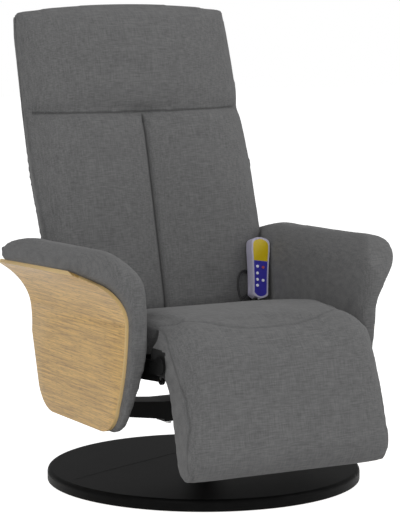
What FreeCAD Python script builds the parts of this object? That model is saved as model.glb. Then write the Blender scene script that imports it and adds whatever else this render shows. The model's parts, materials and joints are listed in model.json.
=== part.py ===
import FreeCAD, Part
import math
import os
from FreeCAD import Placement, Rotation
from FreeCAD import Vector as V

# Massage recliner on a round swivel base, in millimetres.
# X is the sitter's left-right line, -Y the front, +Z up, and the origin is the floor under the swivel axis.

# Base disc
BASE_RADIUS = 350.0
GLIDE_HEIGHT = 2.0
GLIDE_RADIUS = 18.0
CENTRE_GLIDE_RADIUS = 40.0
GLIDE_COUNT = 8
GLIDE_INSET = 50.0
BOARD_THICK = 23.0
COVER_SKIN = 2.0
RIM_ROUND = 9.0

# Swivel
POST_RADIUS = 25.0
POST_WALL = 5.0
FLANGE_RADIUS = 50.0
FLANGE_THICK = 8.0
POST_BOLT_CIRCLE = 38.0
POST_BOLT_COUNT = 4
POST_BOLT_RADIUS = 4.0
BOLT_HEAD_ACROSS = 15.0
BOLT_HEAD_HEIGHT = 6.0
HUB_WALL = 9.0
HUB_LENGTH = 70.0
HUB_PLATE_THICK = 6.0
WASHER_THICK = 4.0
TURN_CLEARANCE = 0.06
BOLT_CLEARANCE = 0.1

# Crossbar under the seat, a tapered closed tube
CROSSBAR_BOTTOM = 148.0
CROSSBAR_TOP = 187.0
CROSSBAR_RISE = 11.0
CROSSBAR_END_LIFT = 18.0
CROSSBAR_FLAT = 118.0
CROSSBAR_DEPTH = 70.0
CROSSBAR_WALL = 4.0
HUB_BOLT_X = 100.0
HUB_BOLT_Y = 20.0

# Widths across the chair: the seat drives them, and the rest keep their distance from it
SEAT_HALF = 244.0
LEGREST_EASE = 2.0
PLATE_GAP = 3.0
PLATE_THICK = 4.0
BRACKET_SETBACK = 7.0
ROD_SETBACK = 17.0
LEGREST_ARM_SETBACK = 31.0
RAIL_SETBACK = 31.0
ARM_GAP = 16.0
ARM_BODY = 50.0
ARM_LOW_TAPER = 25.0
WOOD_THICK = 9.0
LEGREST_HALF = SEAT_HALF - LEGREST_EASE
PLATE_INNER = SEAT_HALF + PLATE_GAP
BRACKET_INNER = PLATE_INNER - BRACKET_SETBACK
ROD_INNER = PLATE_INNER - ROD_SETBACK
LEGREST_ARM_INNER = PLATE_INNER - LEGREST_ARM_SETBACK
RAIL_HALF = PLATE_INNER - RAIL_SETBACK
ARM_INNER = SEAT_HALF + ARM_GAP
ARM_INNER_LOW = ARM_INNER + ARM_LOW_TAPER
WOOD_OUTER = ARM_INNER + ARM_BODY
FAR = 1500.0

# Pivots and motion
BACK_PIVOT_Y = 215.0
BACK_PIVOT_Z = 300.0
BACK_LEAN = 14.0
RECLINE = 42.0
LEGREST_PIVOT_Y = -262.0
LEGREST_PIVOT_Z = 312.0
LEGREST_LEAN = 13.6
LEGREST_LIFT = 70.0
BACK_LEVER = 60.0
PIVOT_PIN_RADIUS = 8.0
PIVOT_EYE_RADIUS = 19.0
ROD_BOLT_RADIUS = 4.0
ROD_HALF_HEIGHT = 8.0
ROD_THICK = 6.0
BRACKET_THICK = 4.0
LEGREST_ARM_THICK = 4.0

# Seat, in a frame tilted about X through the deck point
SEAT_TILT = 9.0
DECK_Z = 264.0
RAIL_WIDTH = 26.0
RAIL_HEIGHT = 30.0
RAIL_WALL = 4.0
RAIL_FRONT = -160.0
RAIL_REAR = 138.0
WEB_THICK = 3.0
WEB_WIDTH = 50.0
WEB_COUNT = 5
CUSHION_THICK = 82.0
SEAT_CROWN = 7.0
SEAT_GAP = 2.0

# Legrest pad
KNUCKLE_RADIUS = 83.0
PAD_THICK = 70.0
PAD_LENGTH = 250.0
LEGREST_BOARD_THICK = 12.0
LEGREST_BOARD_TOP = 26.0
LEGREST_BOARD_END = 184.0
CHEEK_THICK = 4.0
HINGE_ROOM = 30.0

# Back, in a frame that leans about its pivot
BACK_TOP_ARCH = 770.0
BACK_TOP_CORNER = 745.0
BACK_ARCH_HALF = 340.0
HEAD_SEAM_END = 528.0
HEAD_SEAM_MIDDLE = 507.0
HEAD_SEAM_HALF = 500.0
BACK_BOARD_FRONT = 10.0
BACK_BOARD_THICK = 15.0
BACK_CLEARANCE = 0.3

# Arms
ARM_STRAIGHT_TOP = 390.0
FLARE_RADIUS = 118.0
ARM_TOP = 545.0
ARM_BOTTOM = 153.0

# Vibrating pods
POD_RADIUS = 26.0
POD_HEIGHT = 20.0
POD_CLEARANCE = 1.0

# Power box
BOX_LENGTH = 110.0
BOX_DEPTH = 36.0
BOX_HEIGHT = 34.0
BOX_WALL = 2.5
INLET_RADIUS = 2.85
INLET_DEPTH = 9.0
INLET_WALL = 2.0

# Remote
REMOTE_LENGTH = 144.0
REMOTE_TOP_HALF = 24.0
REMOTE_LOW_HALF = 20.0
REMOTE_DEPTH = 26.0
REMOTE_FOOT_RISE = 9.0
REMOTE_SHOULDER = 16.0
REMOTE_WALL = 2.0
REMOTE_LEAN = 16.0
REMOTE_ROLL = 9.0
REMOTE_FROM_EDGE = 21.0
REMOTE_FOOT_Y = 142.0
REMOTE_FOOT_Z = 369.0
REMOTE_FOOT = V(SEAT_HALF - REMOTE_FROM_EDGE, REMOTE_FOOT_Y, REMOTE_FOOT_Z)
LABEL_THICK = 0.8
BUTTON_RADIUS = 3.3
BUTTON_PROUD = 1.6
BUTTON_GAP = 0.15
CORD_RADIUS = 2.5

# Side plates
PLATE_BAR_UP = 8.0
PLATE_BAR_DROP = 26.0
PLATE_LEG_TOP = 62.0
PLATE_LEG_FOOT = 45.0
ARM_BOLT_PLACES = ((-30.0, 222.0), (30.0, 222.0), (0.0, 256.0))
SPACER_RADIUS = 11.0
WOOD_BITE = 5.0
ARM_BOLT_ACROSS = 14.0
ARM_BOLT_HEAD = 5.0
PIN_PROUD = 4.0

# Seat details
SEAT_SPACER_PLACES = (-110.0, 60.0)
SEAT_SPACER_RADIUS = 7.0
SEAT_SPACER_LEVEL = 22.0
DUST_THICK = 1.2
CREASE_ANGLE = 62.0
LIP_ANGLE = 92.0
CREST_SETBACK = 150.0
CREST_RISE = 2.5
LIP_CROWN = 404.0
LIP_SHOULDER = 398.0
LIP_EDGE = 378.0
LIP_ROUND = 28.0
LIP_END_Y = -205.0
LIP_BOW_Y = -280.0
BACK_SWING = 66.0
SEAT_REAR_RAKE = 3.0
SEAT_SIDE_ROUND = 20.0
SEAT_SIDE_TUCK = 6.0
SEAT_POD_X = 105.0
SEAT_POD_Y = -10.0
GROMMET_FROM_EDGE = 59.0
GROMMET_X = SEAT_HALF - GROMMET_FROM_EDGE
GROMMET_Y = 136.0
GROMMET_SINK = 16.0
GROMMET_LENGTH = 14.0
GROMMET_RADIUS = 6.0

# Legrest details
PAD_EDGE_REACH = 90.0
PAD_EDGE_DROP = 24.0
PAD_FOOT_SHARE = 0.12
PAD_WAIST_SHARE = 0.4
PAD_BOW = 3.0
PAD_STATIONS = (1.0, 0.96, 0.85, 0.6, 0.3, 0.0)
PAD_FRONT_ROUND = 66.0
LEGREST_POD_X = 105.0
LEGREST_POD_DROP = 115.0
LEGREST_ARM_SHORT = 20.0
SLOT_RIM = 3.0
BOLT_RIM = 3.0
ROD_SIDE_GAP = 0.5
ROD_SLOT_ROOM = 0.6

# Back details: level, how far it stands out past the seat and how far its rear is drawn in
BACK_SPREAD = ((-30.0, -14.0, 10.0), (60.0, -8.0, 15.0), (120.0, 4.0, 15.0), (215.0, 36.0, 15.0),
               (250.0, 40.0, 13.0), (375.0, 41.0, 8.0), (528.0, 36.0, 2.0), (736.0, 27.0, 0.0))
BACK_WIDTHS = tuple((level, SEAT_HALF + spread, tuck) for level, spread, tuck in BACK_SPREAD)

# Back panels: level, then edge, crown and channel depths; the cover: level, draw-in, side and middle depths
BACK_PANELS = ((14.0, -18.0, -34.0, -24.0), (26.0, -34.0, -50.0, -38.0), (60.0, -44.0, -60.0, -44.0),
               (215.0, -50.0, -63.0, -44.0), (375.0, -33.0, -61.0, -44.0), (450.0, -25.0, -58.0, -43.0),
               (500.0, -18.0, -49.0, -38.0), (535.0, -11.0, -33.0, -30.0))
HEAD_PANELS = ((500.0, -8.0, -30.0), (525.0, -14.0, -46.0), (560.0, -17.0, -56.0), (640.0, -16.0, -60.0),
               (700.0, -13.0, -54.0), (740.0, -8.0, -38.0), (771.0, -5.0, -16.0))
COVER_PANELS = ((20.0, 34.0, 30.0, 40.0), (60.0, 34.0, 38.0, 50.0), (215.0, 34.0, 40.0, 54.0),
                (375.0, 26.0, 40.0, 54.0), (528.0, 14.0, 38.0, 52.0), (700.0, 3.0, 32.0, 46.0),
                (765.0, 3.0, 24.0, 32.0))
COVER_LAP = 12.0
COVER_DROP = 6.0
BACK_CHANNEL = 1.0
BACK_SIDE_ROUND = 12.0
BACK_BOARD_LOW = 45.0
BRACKET_TOP = 190.0
BACK_BOARD_EDGE = 40.0
BACK_BOARD_SPREAD = 14.0
BOARD_ROOM = 4.0
BACK_POD_X = 120.0
BACK_POD_LEVELS = (150.0, 340.0)

# Arm details: a point is a straight run's end, and a pair of points is an arc's middle and end
ARM_PAD_PROUD = 5.0
WOOD_SETBACK = 16.0
WOOD_START = (-20.0, 520.0)
WOOD_FRONT = ((-36.0, 498.0), ((-124.0, 485.0), (-181.0, 474.0)), ((-220.0, 451.0), (-240.5, 405.0)))
WOOD_REAR = (((268.0, 426.0), (326.0, 467.0)), (326.0, 520.0))
PAD_START = (-110.0, ARM_TOP)
PAD_FRONT = (((-200.0, 530.0), (-250.0, 487.0)), ((-250.0, 440.0), (-240.0, 390.0)))
PAD_REAR = ((258.0, 364.0), (311.0, 470.0), ((304.0, 498.0), (278.0, 518.0)),
            ((222.0, 533.0), (150.0, 538.0)))
ARM_LOWER = (((-231.0, 315.0), (-196.0, 210.0)), ((-173.0, 172.0), (-125.0, ARM_BOTTOM)), (129.0, ARM_BOTTOM),
             ((182.0, 172.0), (206.0, 207.0)), (240.0, 324.0))
ROLL_CREST = 12.0
ARM_FOLD_DROP = 20.0
PAD_CORNER = ((288.0, -257.0), (326.0, -243.0), (347.0, -205.0))
PAD_NOSE_INNER = 8.0
PAD_NOSE_Y = -200.0

# The arm's flare at two places along it: how far back, its angle, its sink and the roll's bulge
FLARES = ((-300.0, 61.0, -3.4, -8.0), (400.0, 48.7, 10.5, 16.0))
FLARE_GAP = 0.6
ROLL_RISE = 30.0
ROLL_SETBACK = 3.0
BACK_RELIEF_Y = 125.0
ARM_RELIEF_SIDE = 24.0
ARM_RELIEF_X = WOOD_OUTER - ARM_RELIEF_SIDE
ARM_RELIEF_RUN = 110.0
TAIL_CAP_THICK = 5.0
TAIL_CAP_LOW = 430.0
TAIL_CAP_HIGH = 474.0

# Remote details: each button's name, offset from the middle and height on the face
BOX_FROM_EDGE = 174.0
BOX_X = SEAT_HALF - BOX_FROM_EDGE
LABEL_INSET = 4.0
LABEL_SPLIT = 88.0
LABEL_LOW = 0.0
CIRCUIT_DEPTH = 5.0
CIRCUIT_THICK = 1.6
CIRCUIT_LOW = 20.0
CIRCUIT_HIGH = 110.0
BUTTON_FOOT_GAP = 1.2
RELIEF_LENGTH = 16.0
RELIEF_TURN = 55.0
RELIEF_RADIUS = 4.5
BUTTONS = (("button_zone_1", -9.0, 74.0), ("button_zone_2", -9.0, 58.0), ("button_zone_3", -9.0, 43.0),
           ("button_zone_4", -9.0, 29.0), ("button_power", 6.0, 73.0), ("button_mode", 6.0, 42.0))
CORD_POINTS = ((205.0, 140.8, 364.7), (198.0, 139.85, 361.4), (187.5, 143.0, 361.5), (180.0, 148.5, 371.5),
               (178.0, 156.0, 390.0), (181.0, 164.0, 410.0), (191.0, 172.0, 427.0), (207.0, 178.0, 434.0),
               (221.5, 178.5, 426.0), (226.0, 175.0, 408.0), (221.0, 169.5, 391.0), (209.0, 164.5, 379.0),
               (196.0, 159.5, 373.0), (187.5, 155.8, 368.0), (185.0, 153.22, 362.04), (185.0, 152.05, 354.63))

plate_outer = PLATE_INNER + PLATE_THICK
wood_inner = WOOD_OUTER - WOOD_THICK
base_top = GLIDE_HEIGHT + BOARD_THICK + COVER_SKIN
hub_plate_bottom = CROSSBAR_BOTTOM - HUB_PLATE_THICK
post_top = hub_plate_bottom - WASHER_THICK
half_recline = math.radians(RECLINE / 2)
half_lift = math.radians(LEGREST_LIFT / 2)
legrest_lever = BACK_LEVER * math.sin(half_recline) / math.sin(half_lift)


def on_plane(plane, level, a, b):
    if plane == "yz":
        return V(level, a, b)
    if plane == "xz":
        return V(a, level, b)
    return V(a, b, level)


def outline(plane, level, start, *steps):
    """Closed wire: each step is a point for a line, or a (through, end) pair for an arc."""
    edges = []
    here = start
    for step in steps + (start,):
        arc = isinstance(step[0], tuple)
        end = step[1] if arc else step
        first = on_plane(plane, level, *here)
        last = on_plane(plane, level, *end)
        if arc:
            edges.append(Part.Arc(first, on_plane(plane, level, *step[0]), last).toShape())
        elif first.distanceToPoint(last) > 1e-6:
            edges.append(Part.LineSegment(first, last).toShape())
        here = end
    return Part.Wire(edges)


def prism(plane, low, high, start, *steps):
    face = Part.Face(outline(plane, low, start, *steps))
    return face.extrude(on_plane(plane, high - low, 0, 0))


def box(x0, x1, y0, y1, z0, z1):
    return Part.makeBox(x1 - x0, y1 - y0, z1 - z0, V(x0, y0, z0))


def rod(radius, start, end):
    return Part.makeCylinder(radius, (end - start).Length, start, end - start)


def rod_x(radius, x0, x1, y, z):
    return rod(radius, V(x0, y, z), V(x1, y, z))


def hexagon(across, start, end):
    axis = end - start
    ring = [polar((0, 0), across / 2, 60.0 * k) for k in range(7)]
    nut = Part.Face(Part.makePolygon([V(x, y, 0) for x, y in ring])).extrude(V(0, 0, axis.Length))
    nut.Placement = Placement(start, Rotation(V(0, 0, 1), axis))
    return nut


def loft(wires):
    return Part.makeLoft(wires, True, True)


def mirrored(shape):
    return shape.mirror(V(0, 0, 0), V(1, 0, 0))


def pair(shape):
    return [shape, mirrored(shape)]


def turned(shape, y, z, lean):
    moved = shape.copy()
    moved.Placement = Placement(V(0, y, z), Rotation(V(1, 0, 0), -lean))
    return moved


def in_seat(shape):
    return turned(shape, 0, DECK_Z, SEAT_TILT)


def in_back(shape):
    return turned(shape, BACK_PIVOT_Y, BACK_PIVOT_Z, BACK_LEAN)


def in_legrest(shape):
    return turned(shape, LEGREST_PIVOT_Y, LEGREST_PIVOT_Z, LEGREST_LEAN)


def seat_point(y, z):
    tilt = math.radians(SEAT_TILT)
    above = z - DECK_Z
    return (y * math.cos(tilt) - above * math.sin(tilt), y * math.sin(tilt) + above * math.cos(tilt))


def polar(centre, radius, degrees):
    angle = math.radians(degrees)
    return (centre[0] + radius * math.cos(angle), centre[1] + radius * math.sin(angle))


def save(name, shapes):
    solids = []
    for shape in shapes if isinstance(shapes, list) else [shapes]:
        solids.extend(shape.Solids)
    whole = solids[0] if len(solids) == 1 else Part.makeCompound(solids)
    whole.exportStep("parts/" + name + ".step")
    print(name, len(solids), round(sum(solid.Volume for solid in solids) / 1000, 2), whole.isValid())


# Base
def make_base():
    inner = BASE_RADIUS - COVER_SKIN
    board_top = GLIDE_HEIGHT + BOARD_THICK
    round_in = RIM_ROUND - COVER_SKIN
    corner_x = BASE_RADIUS - RIM_ROUND
    corner_z = base_top - RIM_ROUND

    def half(reach, top, radius):
        return Part.Face(outline("xz", 0, (0, GLIDE_HEIGHT), (reach, GLIDE_HEIGHT), (reach, corner_z),
                                 (polar((corner_x, corner_z), radius, 45), (corner_x, top)), (0, top)))

    board = half(inner, board_top, round_in).revolve(V(0, 0, 0), V(0, 0, 1), 360)
    cover = half(BASE_RADIUS, base_top, RIM_ROUND).revolve(V(0, 0, 0), V(0, 0, 1), 360).cut(board)
    glides = [Part.makeCylinder(CENTRE_GLIDE_RADIUS, GLIDE_HEIGHT)]
    for k in range(GLIDE_COUNT):
        x, y = polar((0, 0), BASE_RADIUS - GLIDE_INSET, 360.0 * k / GLIDE_COUNT)
        glides.append(Part.makeCylinder(GLIDE_RADIUS, GLIDE_HEIGHT, V(x, y, 0)))
    post = Part.makeCylinder(FLANGE_RADIUS, FLANGE_THICK, V(0, 0, base_top))
    post = post.fuse(Part.makeCylinder(POST_RADIUS, post_top - base_top, V(0, 0, base_top)))
    post = post.cut(Part.makeCylinder(POST_RADIUS - POST_WALL, post_top, V(0, 0, base_top)))
    bolts = []
    for k in range(POST_BOLT_COUNT):
        x, y = polar((0, 0), POST_BOLT_CIRCLE, 45 + 360.0 * k / POST_BOLT_COUNT)
        head = base_top + FLANGE_THICK
        foot = V(x, y, GLIDE_HEIGHT + COVER_SKIN)
        nut = hexagon(BOLT_HEAD_ACROSS, V(x, y, head), V(x, y, head + BOLT_HEAD_HEIGHT))
        bolts.append(rod(POST_BOLT_RADIUS, foot, V(x, y, head)).fuse(nut))
        hole = rod(POST_BOLT_RADIUS + BOLT_CLEARANCE, foot, V(x, y, head))
        board = board.cut(hole)
        cover = cover.cut(hole)
        post = post.cut(hole)
    washer = Part.makeCylinder(POST_RADIUS, WASHER_THICK, V(0, 0, post_top))
    washer = washer.cut(Part.makeCylinder(POST_RADIUS - POST_WALL, WASHER_THICK, V(0, 0, post_top)))
    save("base_board", board)
    save("base_cover", cover)
    save("base_glides", glides)
    save("swivel_post", post)
    save("post_bolts", bolts)
    save("thrust_washer", washer)


# Swivel hub and crossbar
def crossbar_solid(inset, depth):
    low = CROSSBAR_BOTTOM + inset
    high = CROSSBAR_TOP - inset
    end = PLATE_INNER
    return prism("xz", -depth / 2, depth / 2, (-CROSSBAR_FLAT, low), (CROSSBAR_FLAT, low),
                 (end, low + CROSSBAR_END_LIFT), (end, high + CROSSBAR_RISE), (CROSSBAR_FLAT, high),
                 (-CROSSBAR_FLAT, high), (-end, high + CROSSBAR_RISE), (-end, low + CROSSBAR_END_LIFT))


def make_swivel():
    sleeve_bottom = hub_plate_bottom - HUB_LENGTH
    hub = Part.makeCylinder(POST_RADIUS + HUB_WALL, HUB_LENGTH, V(0, 0, sleeve_bottom))
    hub = hub.cut(Part.makeCylinder(POST_RADIUS + TURN_CLEARANCE, HUB_LENGTH, V(0, 0, sleeve_bottom)))
    hub = hub.fuse(box(-CROSSBAR_FLAT, CROSSBAR_FLAT, -CROSSBAR_DEPTH / 2, CROSSBAR_DEPTH / 2,
                       hub_plate_bottom, CROSSBAR_BOTTOM))
    hollow = crossbar_solid(CROSSBAR_WALL, CROSSBAR_DEPTH - 2 * CROSSBAR_WALL)
    bar = crossbar_solid(0, CROSSBAR_DEPTH).cut(hollow)
    bolts = []
    for x in (-HUB_BOLT_X, HUB_BOLT_X):
        for y in (-HUB_BOLT_Y, HUB_BOLT_Y):
            foot = V(x, y, hub_plate_bottom)
            tip = V(x, y, CROSSBAR_BOTTOM + CROSSBAR_WALL)
            head = V(0, 0, BOLT_HEAD_HEIGHT)
            bolt = rod(POST_BOLT_RADIUS, foot, tip).fuse(hexagon(BOLT_HEAD_ACROSS, foot - head, foot))
            bolts.append(bolt.fuse(hexagon(BOLT_HEAD_ACROSS, tip, tip + head)))
            hole = rod(POST_BOLT_RADIUS + BOLT_CLEARANCE, foot, tip)
            hub = hub.cut(hole)
            bar = bar.cut(hole)
    save("swivel_hub", hub)
    save("crossbar", bar)
    save("hub_bolts", bolts)


# Side plates that carry every pivot, and what fixes the arms to them
def plate_solid():
    front = (LEGREST_PIVOT_Y, LEGREST_PIVOT_Z)
    rear = (BACK_PIVOT_Y, BACK_PIVOT_Z)
    leg_bottom = CROSSBAR_BOTTOM + CROSSBAR_END_LIFT
    bar = prism("yz", PLATE_INNER, plate_outer, (front[0], front[1] + PLATE_BAR_UP),
                (rear[0], rear[1] + PLATE_BAR_UP), (rear[0], rear[1] - PIVOT_EYE_RADIUS),
                (PLATE_LEG_TOP, rear[1] - PLATE_BAR_DROP), (PLATE_LEG_FOOT, leg_bottom),
                (-PLATE_LEG_FOOT, leg_bottom), (-PLATE_LEG_TOP, rear[1] - PLATE_BAR_DROP),
                (front[0], front[1] - PIVOT_EYE_RADIUS))
    for centre in (front, rear):
        bar = bar.fuse(rod_x(PIVOT_EYE_RADIUS, PLATE_INNER, plate_outer, *centre))
        bar = bar.cut(rod_x(PIVOT_PIN_RADIUS, PLATE_INNER, plate_outer, *centre))
    for centre in ARM_BOLT_PLACES:
        bar = bar.cut(rod_x(POST_BOLT_RADIUS + BOLT_CLEARANCE, PLATE_INNER, plate_outer, *centre))
    return bar.removeSplitter()


def make_side_plates():
    plate = plate_solid()
    spacers = []
    bolts = []
    for centre in ARM_BOLT_PLACES:
        spacer = rod_x(SPACER_RADIUS, plate_outer, wood_inner, *centre)
        hole = rod_x(POST_BOLT_RADIUS + BOLT_CLEARANCE, plate_outer, wood_inner, *centre)
        spacers += pair(spacer.cut(hole))
        bolt = rod_x(POST_BOLT_RADIUS, PLATE_INNER, wood_inner + WOOD_BITE, *centre)
        bolts += pair(bolt.fuse(hexagon(ARM_BOLT_ACROSS, V(PLATE_INNER - ARM_BOLT_HEAD, *centre),
                                   V(PLATE_INNER, *centre))))
    save("side_plate_right", plate)
    save("side_plate_left", mirrored(plate))
    save("arm_spacers", spacers)
    save("arm_bolts", bolts)
    back_pin = rod_x(PIVOT_PIN_RADIUS, BRACKET_INNER - PIN_PROUD, plate_outer, BACK_PIVOT_Y, BACK_PIVOT_Z)
    legrest_pin = rod_x(PIVOT_PIN_RADIUS, LEGREST_ARM_INNER - PIN_PROUD, plate_outer, LEGREST_PIVOT_Y,
                        LEGREST_PIVOT_Z)
    save("back_pivot_pins", pair(back_pin))
    save("legrest_pivot_pins", pair(legrest_pin))


# Seat frame, webbing and cushion
cushion_bottom = RAIL_HEIGHT + WEB_THICK + BACK_CLEARANCE
cushion_top = cushion_bottom + CUSHION_THICK


def make_seat_frame():
    inner = RAIL_HALF - RAIL_WIDTH
    side = prism("xz", RAIL_FRONT, RAIL_REAR, (inner, 0), (RAIL_HALF, 0), (RAIL_HALF, RAIL_HEIGHT),
                 (RAIL_HALF - RAIL_WALL, RAIL_HEIGHT), (RAIL_HALF - RAIL_WALL, RAIL_WALL), (inner, RAIL_WALL))
    reach = RAIL_HALF - RAIL_WALL
    crosses = []
    for edge, way in ((RAIL_FRONT, 1), (RAIL_REAR, -1)):
        wall = edge + way * RAIL_WALL
        lip = edge + way * RAIL_WIDTH
        cross = prism("yz", -reach, reach, (edge, RAIL_WALL), (lip, RAIL_WALL), (lip, 2 * RAIL_WALL),
                      (wall, 2 * RAIL_WALL), (wall, RAIL_HEIGHT), (edge, RAIL_HEIGHT))
        crosses.append(in_seat(cross))
    spacers = []
    for y in SEAT_SPACER_PLACES:
        spacers += pair(in_seat(rod_x(SEAT_SPACER_RADIUS, RAIL_HALF, PLATE_INNER, y, SEAT_SPACER_LEVEL)))
    straps = []
    pitch = (RAIL_REAR - RAIL_FRONT) / WEB_COUNT
    for k in range(WEB_COUNT):
        middle = RAIL_FRONT + pitch * (k + 0.5)
        straps.append(in_seat(box(-RAIL_HALF, RAIL_HALF, middle - WEB_WIDTH / 2, middle + WEB_WIDTH / 2,
                                  RAIL_HEIGHT, RAIL_HEIGHT + WEB_THICK)))
    cloth = box(-reach, reach, RAIL_FRONT + RAIL_WALL, RAIL_REAR - RAIL_WALL, 2 * RAIL_WALL,
                2 * RAIL_WALL + DUST_THICK)
    save("seat_side_rails", pair(in_seat(side)))
    save("seat_cross_rails", crosses)
    save("seat_spacers", spacers)
    save("seat_webbing", straps)
    save("seat_dust_cover", in_seat(cloth))


def make_seat_cushion():
    pivot = seat_point(LEGREST_PIVOT_Y, LEGREST_PIVOT_Z)
    reach = KNUCKLE_RADIUS + SEAT_GAP
    low_angle = math.degrees(math.asin((cushion_bottom - pivot[1]) / reach))
    crease_angle = LIP_ANGLE + SEAT_TILT
    crease = polar(pivot, reach, crease_angle)
    rear_pivot = seat_point(BACK_PIVOT_Y, BACK_PIVOT_Z)
    rear = rear_pivot[0] - BACK_SWING
    crest = crease[0] + CREST_SETBACK
    front_rise = ((crease[0] + crest) / 2, (crease[1] + cushion_top) / 2 + CREST_RISE)
    side_view = prism("yz", -SEAT_HALF, SEAT_HALF, polar(pivot, reach, low_angle),
                      (polar(pivot, reach, (low_angle + crease_angle) / 2), crease),
                      (front_rise, (crest, cushion_top)),
                      (((crest + rear) / 2, cushion_top + 2), (rear + SEAT_REAR_RAKE, cushion_top - 2)),
                      (rear, cushion_bottom))
    top = cushion_top + SEAT_CROWN
    edge = SEAT_HALF - SEAT_SIDE_ROUND
    shoulder = cushion_top - SEAT_CROWN
    waist = cushion_top - SEAT_SIDE_ROUND
    low_half = SEAT_HALF - SEAT_SIDE_TUCK
    belly = (SEAT_HALF - 1, (cushion_bottom + waist) / 2)
    round_at = (SEAT_HALF - SEAT_SIDE_ROUND / 4, shoulder - 0.3 * (shoulder - waist))
    front_view = prism("xz", -FAR, FAR, (-low_half, cushion_bottom), (low_half, cushion_bottom),
                       (belly, (SEAT_HALF, waist)), (round_at, (edge, shoulder)),
                       ((0, top), (-edge, shoulder)),
                       ((-round_at[0], round_at[1]), (-SEAT_HALF, waist)),
                       ((-belly[0], belly[1]), (-low_half, cushion_bottom)))
    cushion = side_view.common(front_view)
    pods = []
    for x in (-SEAT_POD_X, SEAT_POD_X):
        foot = V(x, SEAT_POD_Y, cushion_bottom)
        pods.append(in_seat(rod(POD_RADIUS, foot, foot + V(0, 0, POD_HEIGHT))))
        pocket = rod(POD_RADIUS + POD_CLEARANCE, foot, foot + V(0, 0, POD_HEIGHT + POD_CLEARANCE))
        cushion = cushion.cut(pocket)
    foot = V(GROMMET_X, GROMMET_Y, cushion_top - GROMMET_SINK)
    tip = foot + V(0, 0, GROMMET_LENGTH)
    cushion = cushion.cut(rod(GROMMET_RADIUS + BOLT_CLEARANCE, foot, tip))
    grommet = rod(GROMMET_RADIUS, foot, tip)
    edge = SEAT_HALF + 1
    round_at = (edge - 0.2 * LIP_ROUND, LIP_EDGE + 0.6 * (LIP_SHOULDER - LIP_EDGE))
    inner = edge - LIP_ROUND
    crown = prism("xz", -FAR, FAR, (-edge, 0), (edge, 0), (edge, LIP_EDGE), (round_at, (inner, LIP_SHOULDER)),
                  ((0, LIP_CROWN), (-inner, LIP_SHOULDER)), ((-round_at[0], round_at[1]), (-edge, LIP_EDGE)))
    bow = prism("xy", 0, FAR, (-edge, LIP_END_Y), ((0, LIP_BOW_Y), (edge, LIP_END_Y)),
                (edge, FAR), (-edge, FAR))
    save("seat_cushion", in_seat(cushion).common(crown).common(bow))
    save("seat_vibrators", pods)
    save("cord_grommet", in_seat(grommet))


# Legrest
def pad_section(x, inset):
    """Side view of the pad; the inset draws its front in, fully at the knuckle and hardly at the foot."""
    radius = KNUCKLE_RADIUS - inset
    foot = KNUCKLE_RADIUS - PAD_FOOT_SHARE * inset
    rear = KNUCKLE_RADIUS - PAD_THICK
    thick = foot - rear
    end = PAD_LENGTH - PAD_FOOT_SHARE * inset
    low = -(end - PAD_FRONT_ROUND)
    crease = CREASE_ANGLE + LEGREST_LEAN
    notch = math.sqrt(HINGE_ROOM ** 2 - rear ** 2)
    return outline("yz", x, polar((0, 0), KNUCKLE_RADIUS, crease),
                   (polar((0, 0), KNUCKLE_RADIUS - 0.85 * inset, (crease + 180) / 2), (-radius, 0)),
                   ((-KNUCKLE_RADIUS - PAD_BOW + PAD_WAIST_SHARE * inset, low / 2), (-foot, low)),
                   ((-foot + 0.16 * thick, 0.3 * PAD_FRONT_ROUND - end), (-rear - 0.45 * thick, -end)),
                   ((-rear - 0.1 * thick, 0.25 * PAD_FRONT_ROUND - end),
                    (-rear, 0.7 * PAD_FRONT_ROUND - end)),
                   (-rear, -notch),
                   (polar((0, 0), HINGE_ROOM, 140), polar((0, 0), HINGE_ROOM, crease)))


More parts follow.
